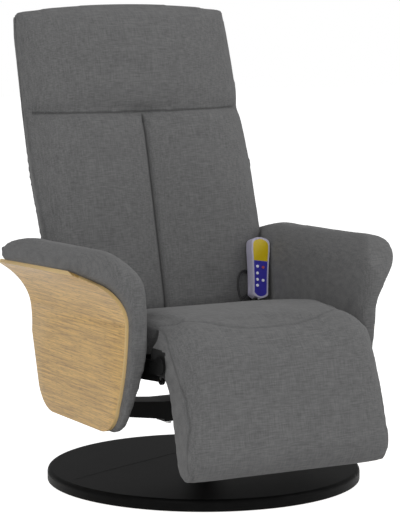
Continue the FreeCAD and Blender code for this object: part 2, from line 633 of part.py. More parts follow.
def make_legrest():
    rear = KNUCKLE_RADIUS - PAD_THICK
    edge = LEGREST_HALF - CHEEK_THICK
    wires = []
    for side, shares in ((-1, PAD_STATIONS), (1, PAD_STATIONS[::-1])):
        for share in shares:
            inset = PAD_EDGE_DROP * (1 - math.sqrt(1 - share ** 2))
            wires.append(pad_section(side * (edge - (1 - share) * PAD_EDGE_REACH), inset))
    pad = loft(wires)
    cheek_radius = KNUCKLE_RADIUS - PAD_EDGE_DROP
    for x0, x1 in ((edge, LEGREST_HALF), (-LEGREST_HALF, -edge)):
        cheek = Part.Face(pad_section(x0, PAD_EDGE_DROP)).extrude(V(x1 - x0, 0, 0))
        cheek = cheek.fuse(rod_x(cheek_radius, x0, x1, 0, 0))
        pad = pad.fuse(cheek.cut(rod_x(PIVOT_PIN_RADIUS + 1, x0, x1, 0, 0)))
    board = box(-LEGREST_ARM_INNER, LEGREST_ARM_INNER, -rear, -rear + LEGREST_BOARD_THICK,
                -LEGREST_BOARD_END, -LEGREST_BOARD_TOP)
    pods = []
    for x in (-LEGREST_POD_X, LEGREST_POD_X):
        foot = V(x, -rear, -LEGREST_POD_DROP)
        pods.append(in_legrest(rod(POD_RADIUS, foot, foot - V(0, POD_HEIGHT, 0))))
        pad = pad.cut(rod(POD_RADIUS + POD_CLEARANCE, foot, foot - V(0, POD_HEIGHT + POD_CLEARANCE, 0)))
    outer = LEGREST_ARM_INNER + LEGREST_ARM_THICK
    arm_end = LEGREST_ARM_SHORT - LEGREST_BOARD_END
    arm = prism("yz", LEGREST_ARM_INNER, outer, (-rear, arm_end), (-rear + LEGREST_BOARD_THICK, arm_end),
                (PIVOT_EYE_RADIUS - PIN_PROUD, 0), (-rear, 0))
    arm = in_legrest(arm.fuse(rod_x(PIVOT_EYE_RADIUS, LEGREST_ARM_INNER, outer, 0, 0)))
    bolt_at = legrest_bolt_place()
    lever = rod_x(ROD_HALF_HEIGHT, LEGREST_ARM_INNER, outer, *bolt_at)
    pivot = (LEGREST_PIVOT_Y, LEGREST_PIVOT_Z)
    lever = lever.fuse(bar_between("yz", LEGREST_ARM_INNER, outer, pivot, bolt_at, ROD_HALF_HEIGHT))
    arm = arm.fuse(lever).cut(rod_x(PIVOT_PIN_RADIUS + TURN_CLEARANCE, LEGREST_ARM_INNER, outer, *pivot))
    arm = arm.cut(rod_x(ROD_BOLT_RADIUS, LEGREST_ARM_INNER, outer, *bolt_at)).removeSplitter()
    bolt = rod_x(ROD_BOLT_RADIUS, LEGREST_ARM_INNER, ROD_INNER + ROD_THICK, *bolt_at)
    rim = ROD_BOLT_RADIUS + BOLT_RIM
    bolt = bolt.fuse(rod_x(rim, LEGREST_ARM_INNER - BOLT_RIM, LEGREST_ARM_INNER, *bolt_at))
    bolt = bolt.fuse(rod_x(rim, outer, ROD_INNER - ROD_SIDE_GAP, *bolt_at))
    save("legrest_pad", in_legrest(pad))
    save("legrest_board", in_legrest(board))
    save("legrest_vibrators", pods)
    save("legrest_arms", pair(arm))
    save("rod_bolts_front", pair(bolt))


def legrest_bolt_place():
    return polar((LEGREST_PIVOT_Y, LEGREST_PIVOT_Z), legrest_lever, LEGREST_LIFT / 2 - 90)


def back_bolt_place():
    return polar((BACK_PIVOT_Y, BACK_PIVOT_Z), BACK_LEVER, RECLINE / 2 - 90)


def bar_between(plane, low, high, start, end, half):
    length = math.hypot(end[0] - start[0], end[1] - start[1])
    a = (start[1] - end[1]) / length * half
    b = (end[0] - start[0]) / length * half
    return prism(plane, low, high, (start[0] + a, start[1] + b), (end[0] + a, end[1] + b),
                 (end[0] - a, end[1] - b), (start[0] - a, start[1] - b))


# Rods that tie the legrest to the back
def make_rods():
    rear = back_bolt_place()
    front = legrest_bolt_place()
    outer = ROD_INNER + ROD_THICK
    bar = bar_between("yz", ROD_INNER, outer, rear, front, ROD_HALF_HEIGHT)
    bar = bar.fuse(rod_x(ROD_HALF_HEIGHT, ROD_INNER, outer, *rear))
    dip = legrest_lever * (1 - math.cos(half_lift)) - BACK_LEVER * (1 - math.cos(half_recline))
    lower = (front[0], front[1] - dip)
    bar = bar.fuse(rod_x(ROD_HALF_HEIGHT + SLOT_RIM, ROD_INNER, outer, *front))
    bar = bar.fuse(rod_x(ROD_HALF_HEIGHT + SLOT_RIM, ROD_INNER, outer, *lower))
    bar = bar.cut(rod_x(ROD_BOLT_RADIUS + TURN_CLEARANCE, ROD_INNER, outer, *rear))
    room = ROD_BOLT_RADIUS + ROD_SLOT_ROOM
    for centre in (front, lower):
        bar = bar.cut(rod_x(room, ROD_INNER, outer, *centre))
    bar = bar.cut(box(ROD_INNER, outer, front[0] - room, front[0] + room, lower[1], front[1]))
    save("drive_rods", pair(bar.removeSplitter()))


# Back
def back_side(z):
    """Half width of the back at a level, and how far its rear edge is drawn in there."""
    for (z0, wide0, tuck0), (z1, wide1, tuck1) in zip(BACK_WIDTHS, BACK_WIDTHS[1:]):
        if z <= z1:
            share = (z - z0) / (z1 - z0)
            return wide0 + (wide1 - wide0) * share, tuck0 + (tuck1 - tuck0) * share
    return BACK_WIDTHS[-1][1:]


def cushion_section(z, near, edge, crown, seam):
    """Half of the back from the channel to the side, as a level section."""
    wide, tuck = back_side(z)
    rear = BACK_BOARD_FRONT - BACK_CLEARANCE
    side = BACK_SIDE_ROUND
    return outline("xy", z, (near, rear), (near, seam), (((near + wide) / 2, crown), (wide - side, edge)),
                   ((wide - 0.3 * side, edge + 0.3 * side), (wide, edge + side)), (wide - tuck, rear))


def head_section(z, edge, crown):
    wide, tuck = back_side(z)
    rear = BACK_BOARD_FRONT - BACK_CLEARANCE
    side = BACK_SIDE_ROUND
    return outline("xy", z, (-wide + tuck, rear), (-wide, edge + side),
                   ((-wide + 0.3 * side, edge + 0.3 * side), (-wide + side, edge)),
                   ((0, crown), (wide - side, edge)),
                   ((wide - 0.3 * side, edge + 0.3 * side), (wide, edge + side)), (wide - tuck, rear))


def cover_section(z, drawn, side, middle):
    wide, tuck = back_side(z)
    front = BACK_BOARD_FRONT + BACK_BOARD_THICK - COVER_LAP
    return outline("xy", z, (-wide + tuck, front), (wide - tuck, front), (wide - drawn, side),
                   ((0, middle), (-wide + drawn, side)))


def seam_cut(above):
    far = FAR if above else -FAR
    gap = BACK_CLEARANCE if above else -BACK_CLEARANCE
    end = HEAD_SEAM_MIDDLE + (HEAD_SEAM_END - HEAD_SEAM_MIDDLE) * FAR / HEAD_SEAM_HALF
    return prism("xz", -FAR, FAR, (-FAR, far), (FAR, far), (FAR, end + gap), (0, HEAD_SEAM_MIDDLE + gap),
                 (-FAR, end + gap))


def arch_limit(drop):
    """What lies under the back's arched top, lowered by the drop."""
    wide = BACK_ARCH_HALF
    return prism("xz", -FAR, FAR, (-wide, -FAR), (wide, -FAR), (wide, BACK_TOP_CORNER - drop),
                 ((0, BACK_TOP_ARCH - drop), (-wide, BACK_TOP_CORNER - drop)))


def make_back():
    lower = [cushion_section(z, BACK_CHANNEL / 2, *depths) for z, *depths in BACK_PANELS]
    cushion = loft(lower).common(seam_cut(False))
    head = loft([head_section(z, *depths) for z, *depths in HEAD_PANELS])
    head = head.common(seam_cut(True)).common(arch_limit(0))
    cover = loft([cover_section(z, *depths) for z, *depths in COVER_PANELS]).common(arch_limit(COVER_DROP))
    rear = BACK_BOARD_FRONT + BACK_BOARD_THICK
    low_half = BRACKET_INNER
    board_half = low_half + BACK_BOARD_SPREAD
    board = prism("xz", BACK_BOARD_FRONT, rear, (-low_half, BACK_BOARD_LOW), (low_half, BACK_BOARD_LOW),
                  (low_half, BRACKET_TOP + BOLT_HEAD_ACROSS), (board_half, BRACKET_TOP + BACK_BOARD_EDGE),
                  (board_half, BACK_TOP_CORNER - BACK_BOARD_EDGE),
                  ((0, BACK_TOP_ARCH - BACK_BOARD_EDGE), (-board_half, BACK_TOP_CORNER - BACK_BOARD_EDGE)),
                  (-board_half, BRACKET_TOP + BACK_BOARD_EDGE), (-low_half, BRACKET_TOP + BOLT_HEAD_ACROSS))
    room_half = board_half + BOARD_ROOM
    room = box(-room_half, room_half, -FAR, rear + BACK_CLEARANCE, -FAR, FAR)
    room = room.common(arch_limit(BACK_BOARD_EDGE - BOARD_ROOM))
    low_room = box(-FAR, FAR, -FAR, rear, -FAR, BRACKET_TOP + BACK_BOARD_EDGE)
    cover = cover.cut(room).cut(low_room)
    pods = []
    for x in (-BACK_POD_X, BACK_POD_X):
        for z in BACK_POD_LEVELS:
            foot = V(x, BACK_BOARD_FRONT, z)
            pods.append(in_back(rod(POD_RADIUS, foot, foot - V(0, POD_HEIGHT, 0))))
            if x > 0:
                pocket = rod(POD_RADIUS + POD_CLEARANCE, foot, foot - V(0, POD_HEIGHT + POD_CLEARANCE, 0))
                cushion = cushion.cut(pocket)
    outer = BRACKET_INNER + BRACKET_THICK
    plate = prism("yz", BRACKET_INNER, outer, (BACK_BOARD_FRONT, BRACKET_TOP), (rear, BRACKET_TOP),
                  (rear, 30), (PIVOT_EYE_RADIUS - 2, 0), (-PIVOT_EYE_RADIUS + 4, 8), (BACK_BOARD_FRONT, 40))
    plate = in_back(plate.fuse(rod_x(PIVOT_EYE_RADIUS, BRACKET_INNER, outer, 0, 0)))
    bolt_at = back_bolt_place()
    pivot = (BACK_PIVOT_Y, BACK_PIVOT_Z)
    plate = plate.fuse(bar_between("yz", BRACKET_INNER, outer, pivot, bolt_at, ROD_HALF_HEIGHT + SLOT_RIM))
    plate = plate.fuse(rod_x(ROD_HALF_HEIGHT + SLOT_RIM, BRACKET_INNER, outer, *bolt_at))
    plate = plate.cut(rod_x(PIVOT_PIN_RADIUS + TURN_CLEARANCE, BRACKET_INNER, outer, *pivot))
    plate = plate.cut(rod_x(ROD_BOLT_RADIUS, BRACKET_INNER, outer, *bolt_at)).removeSplitter()
    bolt = rod_x(ROD_BOLT_RADIUS, ROD_INNER, outer, *bolt_at)
    rim = ROD_BOLT_RADIUS + BOLT_RIM
    bolt = bolt.fuse(rod_x(ROD_BOLT_RADIUS, ROD_INNER - ROD_SIDE_GAP, ROD_INNER, *bolt_at))
    bolt = bolt.fuse(rod_x(rim, ROD_INNER - BOLT_RIM, ROD_INNER - ROD_SIDE_GAP, *bolt_at))
    bolt = bolt.fuse(rod_x(rim, ROD_INNER + ROD_THICK + ROD_SIDE_GAP, BRACKET_INNER, *bolt_at))
    save("back_cushion_right", in_back(cushion))
    save("back_cushion_left", mirrored(in_back(cushion)))
    save("head_cushion", in_back(head))
    save("back_cover", in_back(cover))
    save("back_board", in_back(board))
    save("back_vibrators", pods)
    save("back_bracket_right", plate)
    save("back_bracket_left", mirrored(plate))
    save("rod_bolts_rear", pair(bolt))


# Arms
def arm_side(start, front, rear, proud):
    """Side view of an arm, from the top of its front round the bottom to the rear."""
    def moved(step):
        if isinstance(step[0], tuple):
            return tuple(moved(point) for point in step)
        return (step[0] - proud, step[1]) if step[0] < 0 else step

    steps = [moved(step) for step in front + ARM_LOWER] + list(rear)
    return prism("yz", ARM_INNER - FLARE_RADIUS, WOOD_OUTER + FLARE_RADIUS, start, *steps)


def flare_turn(sink):
    return (WOOD_OUTER + FLARE_RADIUS, ARM_STRAIGHT_TOP - sink)


def wood_section(y, flare, sink, bulge):
    """The bent sheet, cut across the chair."""
    turn = flare_turn(sink)
    tip = 180 - flare
    half_turn = 180 - flare / 2
    inner_radius = FLARE_RADIUS + WOOD_THICK
    below = ARM_BOTTOM - WOOD_THICK
    return outline("xz", y, (wood_inner, below), (WOOD_OUTER, below), (WOOD_OUTER, turn[1]),
                   (polar(turn, FLARE_RADIUS, half_turn), polar(turn, FLARE_RADIUS, tip)),
                   polar(turn, inner_radius, tip),
                   (polar(turn, inner_radius, half_turn), (wood_inner, turn[1])))


def arm_pad_section(y, flare, sink, bulge):
    """The pad inside the sheet, with the roll on top, cut across the chair."""
    turn = flare_turn(sink)
    below = ARM_BOTTOM - WOOD_THICK
    pad_outer = wood_inner - BACK_CLEARANCE
    radius = FLARE_RADIUS + WOOD_THICK + FLARE_GAP
    rim = polar(turn, radius, 180 - flare + ROLL_SETBACK)
    inner_top = ARM_STRAIGHT_TOP - ARM_FOLD_DROP
    inner_foot = ARM_BOTTOM + ARM_FOLD_DROP
    return outline("xz", y, (pad_outer, below), (pad_outer, turn[1]),
                   (polar(turn, radius, 180 - (flare - ROLL_SETBACK) / 2), rim),
                   ((rim[0] + bulge, rim[1] + ROLL_RISE - sink), (WOOD_OUTER + ROLL_CREST, ARM_TOP)),
                   ((ARM_INNER + 24, ARM_TOP - 42), (ARM_INNER + 5, ARM_TOP - 100)),
                   ((ARM_INNER + 1, ARM_TOP - 130), (ARM_INNER, inner_top)),
                   (ARM_INNER + 3, inner_top - 30),
                   ((ARM_INNER + ARM_LOW_TAPER / 2, (inner_top + inner_foot) / 2),
                    (ARM_INNER_LOW, inner_foot)),
                   (ARM_INNER_LOW, below))


def make_arms():
    wood = loft([wood_section(*flare) for flare in FLARES])
    wood = wood.common(arm_side(WOOD_START, WOOD_FRONT, WOOD_REAR, -WOOD_SETBACK))
    section = loft([arm_pad_section(*flare) for flare in FLARES])
    near = ARM_INNER - ARM_BODY
    start, middle, end = PAD_CORNER
    plan = prism("xy", 0, FAR, (near, PAD_NOSE_Y), (ARM_INNER - 1, PAD_NOSE_Y),
                 ((ARM_INNER + PAD_NOSE_INNER, middle[1] + 3), start), (middle, end),
                 (end[0] + ARM_BODY, FAR), (near, FAR))
    section = section.common(plan)
    side = arm_side(PAD_START, PAD_FRONT, PAD_REAR, ARM_PAD_PROUD)
    relief = prism("xy", 0, FAR, (near, BACK_RELIEF_Y), (ARM_INNER, BACK_RELIEF_Y),
                   (ARM_RELIEF_X, BACK_RELIEF_Y + ARM_RELIEF_RUN), (ARM_RELIEF_X, FAR), (near, FAR))
    pad = section.common(side).cut(relief)
    for centre in ARM_BOLT_PLACES:
        pad = pad.cut(rod_x(SPACER_RADIUS + BACK_CLEARANCE, near, wood_inner, *centre))
        wood = wood.cut(rod_x(POST_BOLT_RADIUS, wood_inner - 1, wood_inner + WOOD_BITE, *centre))
    tail = side.copy()
    tail.translate(V(0, TAIL_CAP_THICK, -TAIL_CAP_THICK / 2))
    cap = section.cut(relief).common(tail).cut(side)
    cap = cap.common(box(0, FAR, 0, FAR, TAIL_CAP_LOW, TAIL_CAP_HIGH))
    save("arm_panel_right", wood)
    save("arm_panel_left", mirrored(wood))
    save("arm_pad_right", pad)
    save("arm_pad_left", mirrored(pad))
    save("arm_tail_caps", pair(cap))


# Power box behind the crossbar
def make_power_box():
    rear = CROSSBAR_DEPTH / 2
    low = CROSSBAR_BOTTOM + 2
    case = box(BOX_X, BOX_X + BOX_LENGTH, rear, rear + BOX_DEPTH, low, low + BOX_HEIGHT)
    far = BOX_X + BOX_LENGTH
    hollow = box(BOX_X + BOX_WALL, far - BOX_WALL, rear + BOX_WALL, rear + BOX_DEPTH - BOX_WALL,
                 low + BOX_WALL, low + BOX_HEIGHT - BOX_WALL)
    at = (BOX_X + BOX_LENGTH / 2, low + BOX_HEIGHT / 2)
    start = V(at[0], rear + BOX_DEPTH, at[1])
    sleeve = rod(INLET_RADIUS + INLET_WALL, start, start + V(0, INLET_DEPTH, 0))
    sleeve = sleeve.cut(rod(INLET_RADIUS, start, start + V(0, INLET_DEPTH, 0)))
    save("control_box", case.cut(hollow))
    save("power_inlet", sleeve)


# Remote, modelled upright with its foot at the origin, facing -Y
def in_remote(shape):
    moved = shape.copy()
    turn = Rotation(V(1, 0, 0), -REMOTE_LEAN) * Rotation(V(0, 1, 0), REMOTE_ROLL)
    moved.Placement = Placement(REMOTE_FOOT, turn)
    return moved


def remote_slab(inset, y0, y1, low=0.0, high=None):
    top = REMOTE_LENGTH - inset
    wide = REMOTE_TOP_HALF - inset
    narrow = REMOTE_LOW_HALF - inset
    foot = inset + REMOTE_FOOT_RISE
    shoulder = top - REMOTE_SHOULDER
    round_at = (wide - 0.22 * REMOTE_SHOULDER, top - 0.38 * REMOTE_SHOULDER)
    crown = (wide - 0.7 * REMOTE_SHOULDER, top - 0.14 * REMOTE_SHOULDER)
    slab = prism("xz", y0, y1, (-narrow, foot), ((0, inset), (narrow, foot)),
                 ((narrow + 0.5, 55), (wide, 112)), (wide, shoulder), (round_at, crown),
                 ((0, top), (-crown[0], crown[1])), ((-round_at[0], round_at[1]), (-wide, shoulder)),
                 (-wide, 112), ((-narrow - 0.5, 55), (-narrow, foot)))
    if high is None:
        return slab
    return slab.common(box(-90, 90, y0, y1, low, high))


def make_remote():
    face = -REMOTE_DEPTH / 2
    front = remote_slab(0, face, 0).cut(remote_slab(REMOTE_WALL, face + REMOTE_WALL + LABEL_THICK, 0))
    rear = remote_slab(0, 0, -face).cut(remote_slab(REMOTE_WALL, 0, -face - REMOTE_WALL))
    upper = remote_slab(LABEL_INSET, face, face + LABEL_THICK, LABEL_SPLIT + BUTTON_GAP, REMOTE_LENGTH)
    lower = remote_slab(LABEL_INSET, face, face + LABEL_THICK, LABEL_LOW, LABEL_SPLIT - BUTTON_GAP)
    front = front.cut(upper).cut(lower)
    circuit_at = face + REMOTE_WALL + LABEL_THICK + CIRCUIT_DEPTH
    circuit = remote_slab(REMOTE_WALL, circuit_at, circuit_at + CIRCUIT_THICK, CIRCUIT_LOW, CIRCUIT_HIGH)
    for name, x, z in BUTTONS:
        key = rod(BUTTON_RADIUS, V(x, face - BUTTON_PROUD, z), V(x, circuit_at - BUTTON_FOOT_GAP, z))
        hole = rod(BUTTON_RADIUS + BUTTON_GAP, V(x, face - 1, z), V(x, circuit_at - BUTTON_FOOT_GAP, z))
        front = front.cut(hole)
        lower = lower.cut(hole)
        save(name, in_remote(key))
    start = V(-4, 0, 2)
    turn = math.radians(RELIEF_TURN)
    way = V(-math.sin(turn), 0, -math.cos(turn))
    relief = Part.makeCone(RELIEF_RADIUS, CORD_RADIUS, RELIEF_LENGTH, start, way)
    relief = relief.cut(remote_slab(0, face, -face))
    save("remote_front", in_remote(front))
    save("remote_rear", in_remote(rear))
    save("remote_circuit", in_remote(circuit))
    save("remote_upper_label", in_remote(upper))
    save("remote_lower_label", in_remote(lower))
    save("remote_strain_relief", in_remote(relief))


# Remote cord: straight runs with an arc as large as the two runs allow at each point
def make_cord():
    points = [V(*point) for point in CORD_POINTS]
    edges = []
    here = points[0]
    length = 0.0
    for before, corner, after in zip(points, points[1:], points[2:]):
        into = (corner - before).normalize()
        out = (after - corner).normalize()
        turn = into.getAngle(out)
        setback = 0.45 * min((corner - before).Length, (after - corner).Length)
        radius = setback / math.tan(turn / 2)
        start = corner - into * setback
        end = corner + out * setback
        middle = (start + end) / 2
        bisector = (middle - corner).normalize()
        peak = corner + bisector * (radius / math.cos(turn / 2) - radius)
        edges.append(Part.LineSegment(here, start).toShape())
        edges.append(Part.Arc(start, peak, end).toShape())
        here = end
    edges.append(Part.LineSegment(here, points[-1]).toShape())
    path = Part.Wire(edges)
    ring = Part.Wire(Part.makeCircle(CORD_RADIUS, points[0], points[1] - points[0]))
    tube = path.makePipeShell([ring], True, False)
    print("cord length", round(path.Length, 1))
    save("remote_cord", tube)


os.makedirs("parts", exist_ok=True)
make_base()
make_swivel()
make_side_plates()
make_seat_frame()
make_seat_cushion()
make_legrest()
make_rods()
make_back()
make_arms()
make_power_box()
make_remote()
make_cord()
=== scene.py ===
# %% [markdown]
# # A massage recliner, dressed
# The imported model gives the chair's frame, joints and sizes. This lesson puts the looks on it: woven grey
# cushions, bent oak arms, a leather-wrapped base, a black mechanism and a small corded remote. Every piece
# is made where the model says, in metres, and all but the seat's skin move with one of the model's bodies.

# %% Load the frame
import json
import math

import bmesh
import bpy
import numpy as np
from mathutils import Matrix, Vector
from mathutils.bvhtree import BVHTree


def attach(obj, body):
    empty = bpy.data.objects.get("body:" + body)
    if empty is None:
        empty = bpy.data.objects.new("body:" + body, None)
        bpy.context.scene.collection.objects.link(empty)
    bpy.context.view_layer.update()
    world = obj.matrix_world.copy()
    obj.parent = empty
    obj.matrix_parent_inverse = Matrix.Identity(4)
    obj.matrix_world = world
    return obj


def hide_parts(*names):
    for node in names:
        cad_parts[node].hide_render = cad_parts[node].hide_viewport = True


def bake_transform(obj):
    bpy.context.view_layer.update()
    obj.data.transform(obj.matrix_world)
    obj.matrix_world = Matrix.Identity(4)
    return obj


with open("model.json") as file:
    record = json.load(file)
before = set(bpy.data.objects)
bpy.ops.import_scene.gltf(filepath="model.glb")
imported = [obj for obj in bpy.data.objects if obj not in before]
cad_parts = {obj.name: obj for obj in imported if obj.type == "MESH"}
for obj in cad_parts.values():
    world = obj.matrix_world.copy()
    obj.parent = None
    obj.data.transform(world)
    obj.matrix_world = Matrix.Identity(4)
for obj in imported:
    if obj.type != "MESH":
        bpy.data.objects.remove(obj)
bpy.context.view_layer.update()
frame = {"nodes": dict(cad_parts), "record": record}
nodes = frame["nodes"]
scene = bpy.context.scene
MM = 0.001

# %% [markdown]
# ## The camera and the light
# The photo was taken from the front left, a little above the arms, through a long lens. The camera's place
# was found by fitting the round base and the arm edges. A white floor and three large soft lamps give the
# plain studio look.

# %% Camera
camera_data = bpy.data.cameras.new("camera")
camera_data.sensor_width = 36.0
camera_data.lens = 159.3
camera = bpy.data.objects.new("camera", camera_data)
camera.location = (-2.4402, -4.4203, 1.1361)
camera.rotation_euler = (math.radians(90.0 - 7.27), 0.0, math.radians(-28.81))
camera_data.clip_end = 60.0
scene.collection.objects.link(camera)
scene.camera = camera

# %% Floor, lamps and sky
scene.view_settings.view_transform = "Standard"


def new_material(name):
    material = bpy.data.materials.new(name)
    material.use_nodes = True
    material.node_tree.nodes.clear()
    return material, material.node_tree


def add(tree, kind, **values):
    """Adds a shader node; a value's name is a socket's, with _ for a space, or a property's."""
    made = tree.nodes.new("ShaderNode" + kind)
    for key, value in values.items():
        socket = made.inputs.get(key.replace("_", " "))
        if socket is None:
            setattr(made, key, value)
        elif isinstance(value, bpy.types.NodeSocket):
            tree.links.new(value, socket)
        else:
            socket.default_value = value
    return made


def white_ground():
    material, tree = new_material("studio_floor")
    path = add(tree, "LightPath")
    seen = add(tree, "Math", operation="MAXIMUM")
    tree.links.new(path.outputs["Is Camera Ray"], seen.inputs[0])
    tree.links.new(path.outputs["Is Glossy Ray"], seen.inputs[1])
    matte = add(tree, "BsdfDiffuse", Color=(0.9, 0.9, 0.9, 1.0))
    glow = add(tree, "Emission", Color=(1.0, 1.0, 1.0, 1.0), Strength=0.8)
    both = add(tree, "AddShader")
    tree.links.new(matte.outputs[0], both.inputs[0])
    tree.links.new(glow.outputs[0], both.inputs[1])
    mix = add(tree, "MixShader", Fac=seen.outputs[0])
    tree.links.new(matte.outputs[0], mix.inputs[1])
    tree.links.new(both.outputs[0], mix.inputs[2])
    out = add(tree, "OutputMaterial")
    tree.links.new(mix.outputs[0], out.inputs["Surface"])
    return material


floor_mesh = bpy.data.meshes.new("floor")
FLOOR_HALF = 14.0
floor_corners = [(x * FLOOR_HALF, y * FLOOR_HALF, 0) for x, y in ((-1, -1), (1, -1), (1, 1), (-1, 1))]
floor_mesh.from_pydata(floor_corners, [], [(0, 1, 2, 3)])
floor = bpy.data.objects.new("floor", floor_mesh)
floor.data.materials.append(white_ground())
scene.collection.objects.link(floor)

world = bpy.data.worlds.new("studio")
scene.world = world
world.use_nodes = True
sky = world.node_tree
sky.nodes.clear()
light_path = add(sky, "LightPath")
dim = add(sky, "Background", Color=(1.0, 1.0, 1.0, 1.0), Strength=0.42)
bright = add(sky, "Background", Color=(1.0, 1.0, 1.0, 1.0), Strength=1.0)
sky_mix = add(sky, "MixShader", Fac=light_path.outputs["Is Camera Ray"])
sky.links.new(dim.outputs[0], sky_mix.inputs[1])
sky.links.new(bright.outputs[0], sky_mix.inputs[2])
sky.links.new(sky_mix.outputs[0], add(sky, "OutputWorld").inputs["Surface"])


def lamp(name, place, aim, size, watts):
    data = bpy.data.lights.new(name, "AREA")
    data.shape = "DISK"
    data.size = size
    data.energy = watts
    light = bpy.data.objects.new(name, data)
    light.location = place
    light.rotation_euler = (Vector(aim) - Vector(place)).to_track_quat("-Z", "Y").to_euler()
    scene.collection.objects.link(light)


lamp("key", (-3.2, -3.0, 2.8), (0, 0, 0.5), 2.4, 74.0)
lamp("fill", (3.2, -2.2, 2.2), (0, 0, 0.5), 2.6, 48.0)
lamp("top", (0.2, 0.6, 3.8), (0, 0, 0.4), 2.6, 9.0)

# %% [markdown]
# ## Finishes
# Each finish is a small node tree on Object coordinates, so the weave and the grain keep their real size on
# every piece. The cloth is a grey melange: light and dark threads cross each other, and streaks run along
# both ways.

# %% Woven grey cloth
FABRIC_DARK = (0.102, 0.102, 0.103, 1.0)
FABRIC_LIGHT = (0.17, 0.17, 0.17, 1.0)
# The seams' dark lines are painted shade: the shade of their grooves is mixed into the cloth's colour.
SEAM_SHADE = (0.02, 0.02, 0.02, 1.0)
THREAD_MM = 1.7
WAVE_BAND = 0.314


def stretched_noise(tree, place, scale, detail):
    mapping = add(tree, "Mapping", Vector=place, Scale=scale)
    noise = add(tree, "TexNoise", Vector=mapping.outputs[0], Scale=1.0, Detail=detail, Roughness=0.55)
    return noise.outputs["Fac"]


def blended(tree, kind, first, second, share):
    mixed = add(tree, "Mix", data_type="FLOAT" if kind == "number" else "RGBA")
    slot = 2 if kind == "number" else 6
    wanted = ((mixed.inputs[0], share), (mixed.inputs[slot], first), (mixed.inputs[slot + 1], second))
    for socket, value in wanted:
        if isinstance(value, bpy.types.NodeSocket):
            tree.links.new(value, socket)
        else:
            socket.default_value = value
    return mixed.outputs[0 if kind == "number" else 2]


def ramp(tree, factor, *stops):
    made = add(tree, "ValToRGB", Fac=factor)
    band = made.color_ramp
    while len(band.elements) < len(stops):
        band.elements.new(0.5)
    for element, (place, colour) in zip(band.elements, stops):
        element.position = place
        element.color = colour
    return made.outputs["Color"]


def grey(level):
    return (level, level, level, 1.0)


def surface(tree, colour, roughness, height=None, bump=0.0, reach=0.001, **more):
    shader = add(tree, "BsdfPrincipled", Roughness=roughness, **more)
    if isinstance(colour, bpy.types.NodeSocket):
        tree.links.new(colour, shader.inputs["Base Color"])
    else:
        shader.inputs["Base Color"].default_value = colour
    if height is not None:
        lift = add(tree, "Bump", Strength=bump, Distance=reach, Height=height)
        tree.links.new(lift.outputs["Normal"], shader.inputs["Normal"])
    tree.links.new(shader.outputs[0], add(tree, "OutputMaterial").inputs["Surface"])


def woven_grey():
    material, tree = new_material("fabric_grey")
    place = add(tree, "TexCoord").outputs["Object"]
    weft = stretched_noise(tree, place, (42.0, 480.0, 480.0), 2.0)
    warp = stretched_noise(tree, place, (480.0, 48.0, 48.0), 2.0)
    cloud = stretched_noise(tree, place, (22.0, 22.0, 22.0), 3.0)
    threads = blended(tree, "number", weft, warp, 0.42)
    tone = blended(tree, "number", threads, cloud, 0.1)
    colour = ramp(tree, tone, (0.36, FABRIC_DARK), (0.64, FABRIC_LIGHT))
    # Painted shade: the seam attribute darkens the cloth along the seams.
    seam = add(tree, "Attribute", attribute_name="seam").outputs["Fac"]
    colour = blended(tree, "colour", colour, SEAM_SHADE, seam)
    waves = []
    thread_scale = WAVE_BAND / (THREAD_MM * MM)
    for way in ("X", "Z"):
        wave = add(tree, "TexWave", Vector=place, bands_direction=way, Scale=thread_scale, Distortion=0.6,
                   Detail=1.0)
        waves.append(wave.outputs["Fac"])
    weave = blended(tree, "number", waves[0], waves[1], 0.5)
    height = blended(tree, "number", weave, threads, 0.55)
    surface(tree, colour, 0.92, height, 0.35, 0.0006, Sheen_Weight=0.12, Sheen_Roughness=0.6,
            Specular_IOR_Level=0.2)
    return material


FINISHES = {"fabric_grey": woven_grey()}
print("woven cloth, threads", THREAD_MM, "mm apart")

# %% [markdown]
# ## Oak veneer
# Oak shows long fibres with short dark pores. A picture could be laid on, but noise that is stretched along
# the fibres gives the same look at any size. Three noises are used: broad bands, fine grain and pores.

# %% Oak veneer
OAK_DARK = (0.4, 0.236, 0.066, 1.0)
OAK_LIGHT = (0.69, 0.425, 0.122, 1.0)
OAK_MIDDLE = tuple(0.5 * (a + b) for a, b in zip(OAK_DARK, OAK_LIGHT))
OAK_EDGE = (0.82, 0.6, 0.29, 1.0)
EDGE_SHARE = 0.75


def oak(name, edge):
    material, tree = new_material(name)
    place = add(tree, "TexCoord").outputs["Object"]
    broad = stretched_noise(tree, place, (60.0, 3.0, 60.0), 4.0)
    grain = stretched_noise(tree, place, (320.0, 9.0, 320.0), 3.0)
    pores = stretched_noise(tree, place, (900.0, 42.0, 900.0), 2.0)
    tone = blended(tree, "number", broad, grain, 0.8)
    colour = ramp(tree, tone, (0.38, OAK_DARK), (0.5, OAK_MIDDLE), (0.62, OAK_LIGHT))
    pore = ramp(tree, pores, (0.32, grey(0.55)), (0.46, grey(1.0)))
    shaded = add(tree, "Mix", data_type="RGBA", blend_type="MULTIPLY")
    shaded.inputs[0].default_value = 1.0
    tree.links.new(colour, shaded.inputs[6])
    tree.links.new(pore, shaded.inputs[7])
    colour = shaded.outputs[2]
    if edge:
        colour = blended(tree, "colour", colour, OAK_EDGE, EDGE_SHARE)
    surface(tree, colour, 0.46, pores, 0.12, 0.0004, Coat_Weight=0.12, Coat_Roughness=0.3)
    return material


FINISHES["oak_veneer"] = oak("oak_veneer", False)
oak_edge = oak("oak_edge", True)

# %% [markdown]
# ## Leather, paint, plastic and metal
# The other finishes are even in colour with a fine grain, so they share one tree. Each row of the table
# gives a finish its dark and light tone, its roughness, the grain's scale, and the strength and depth of
# its bumps.


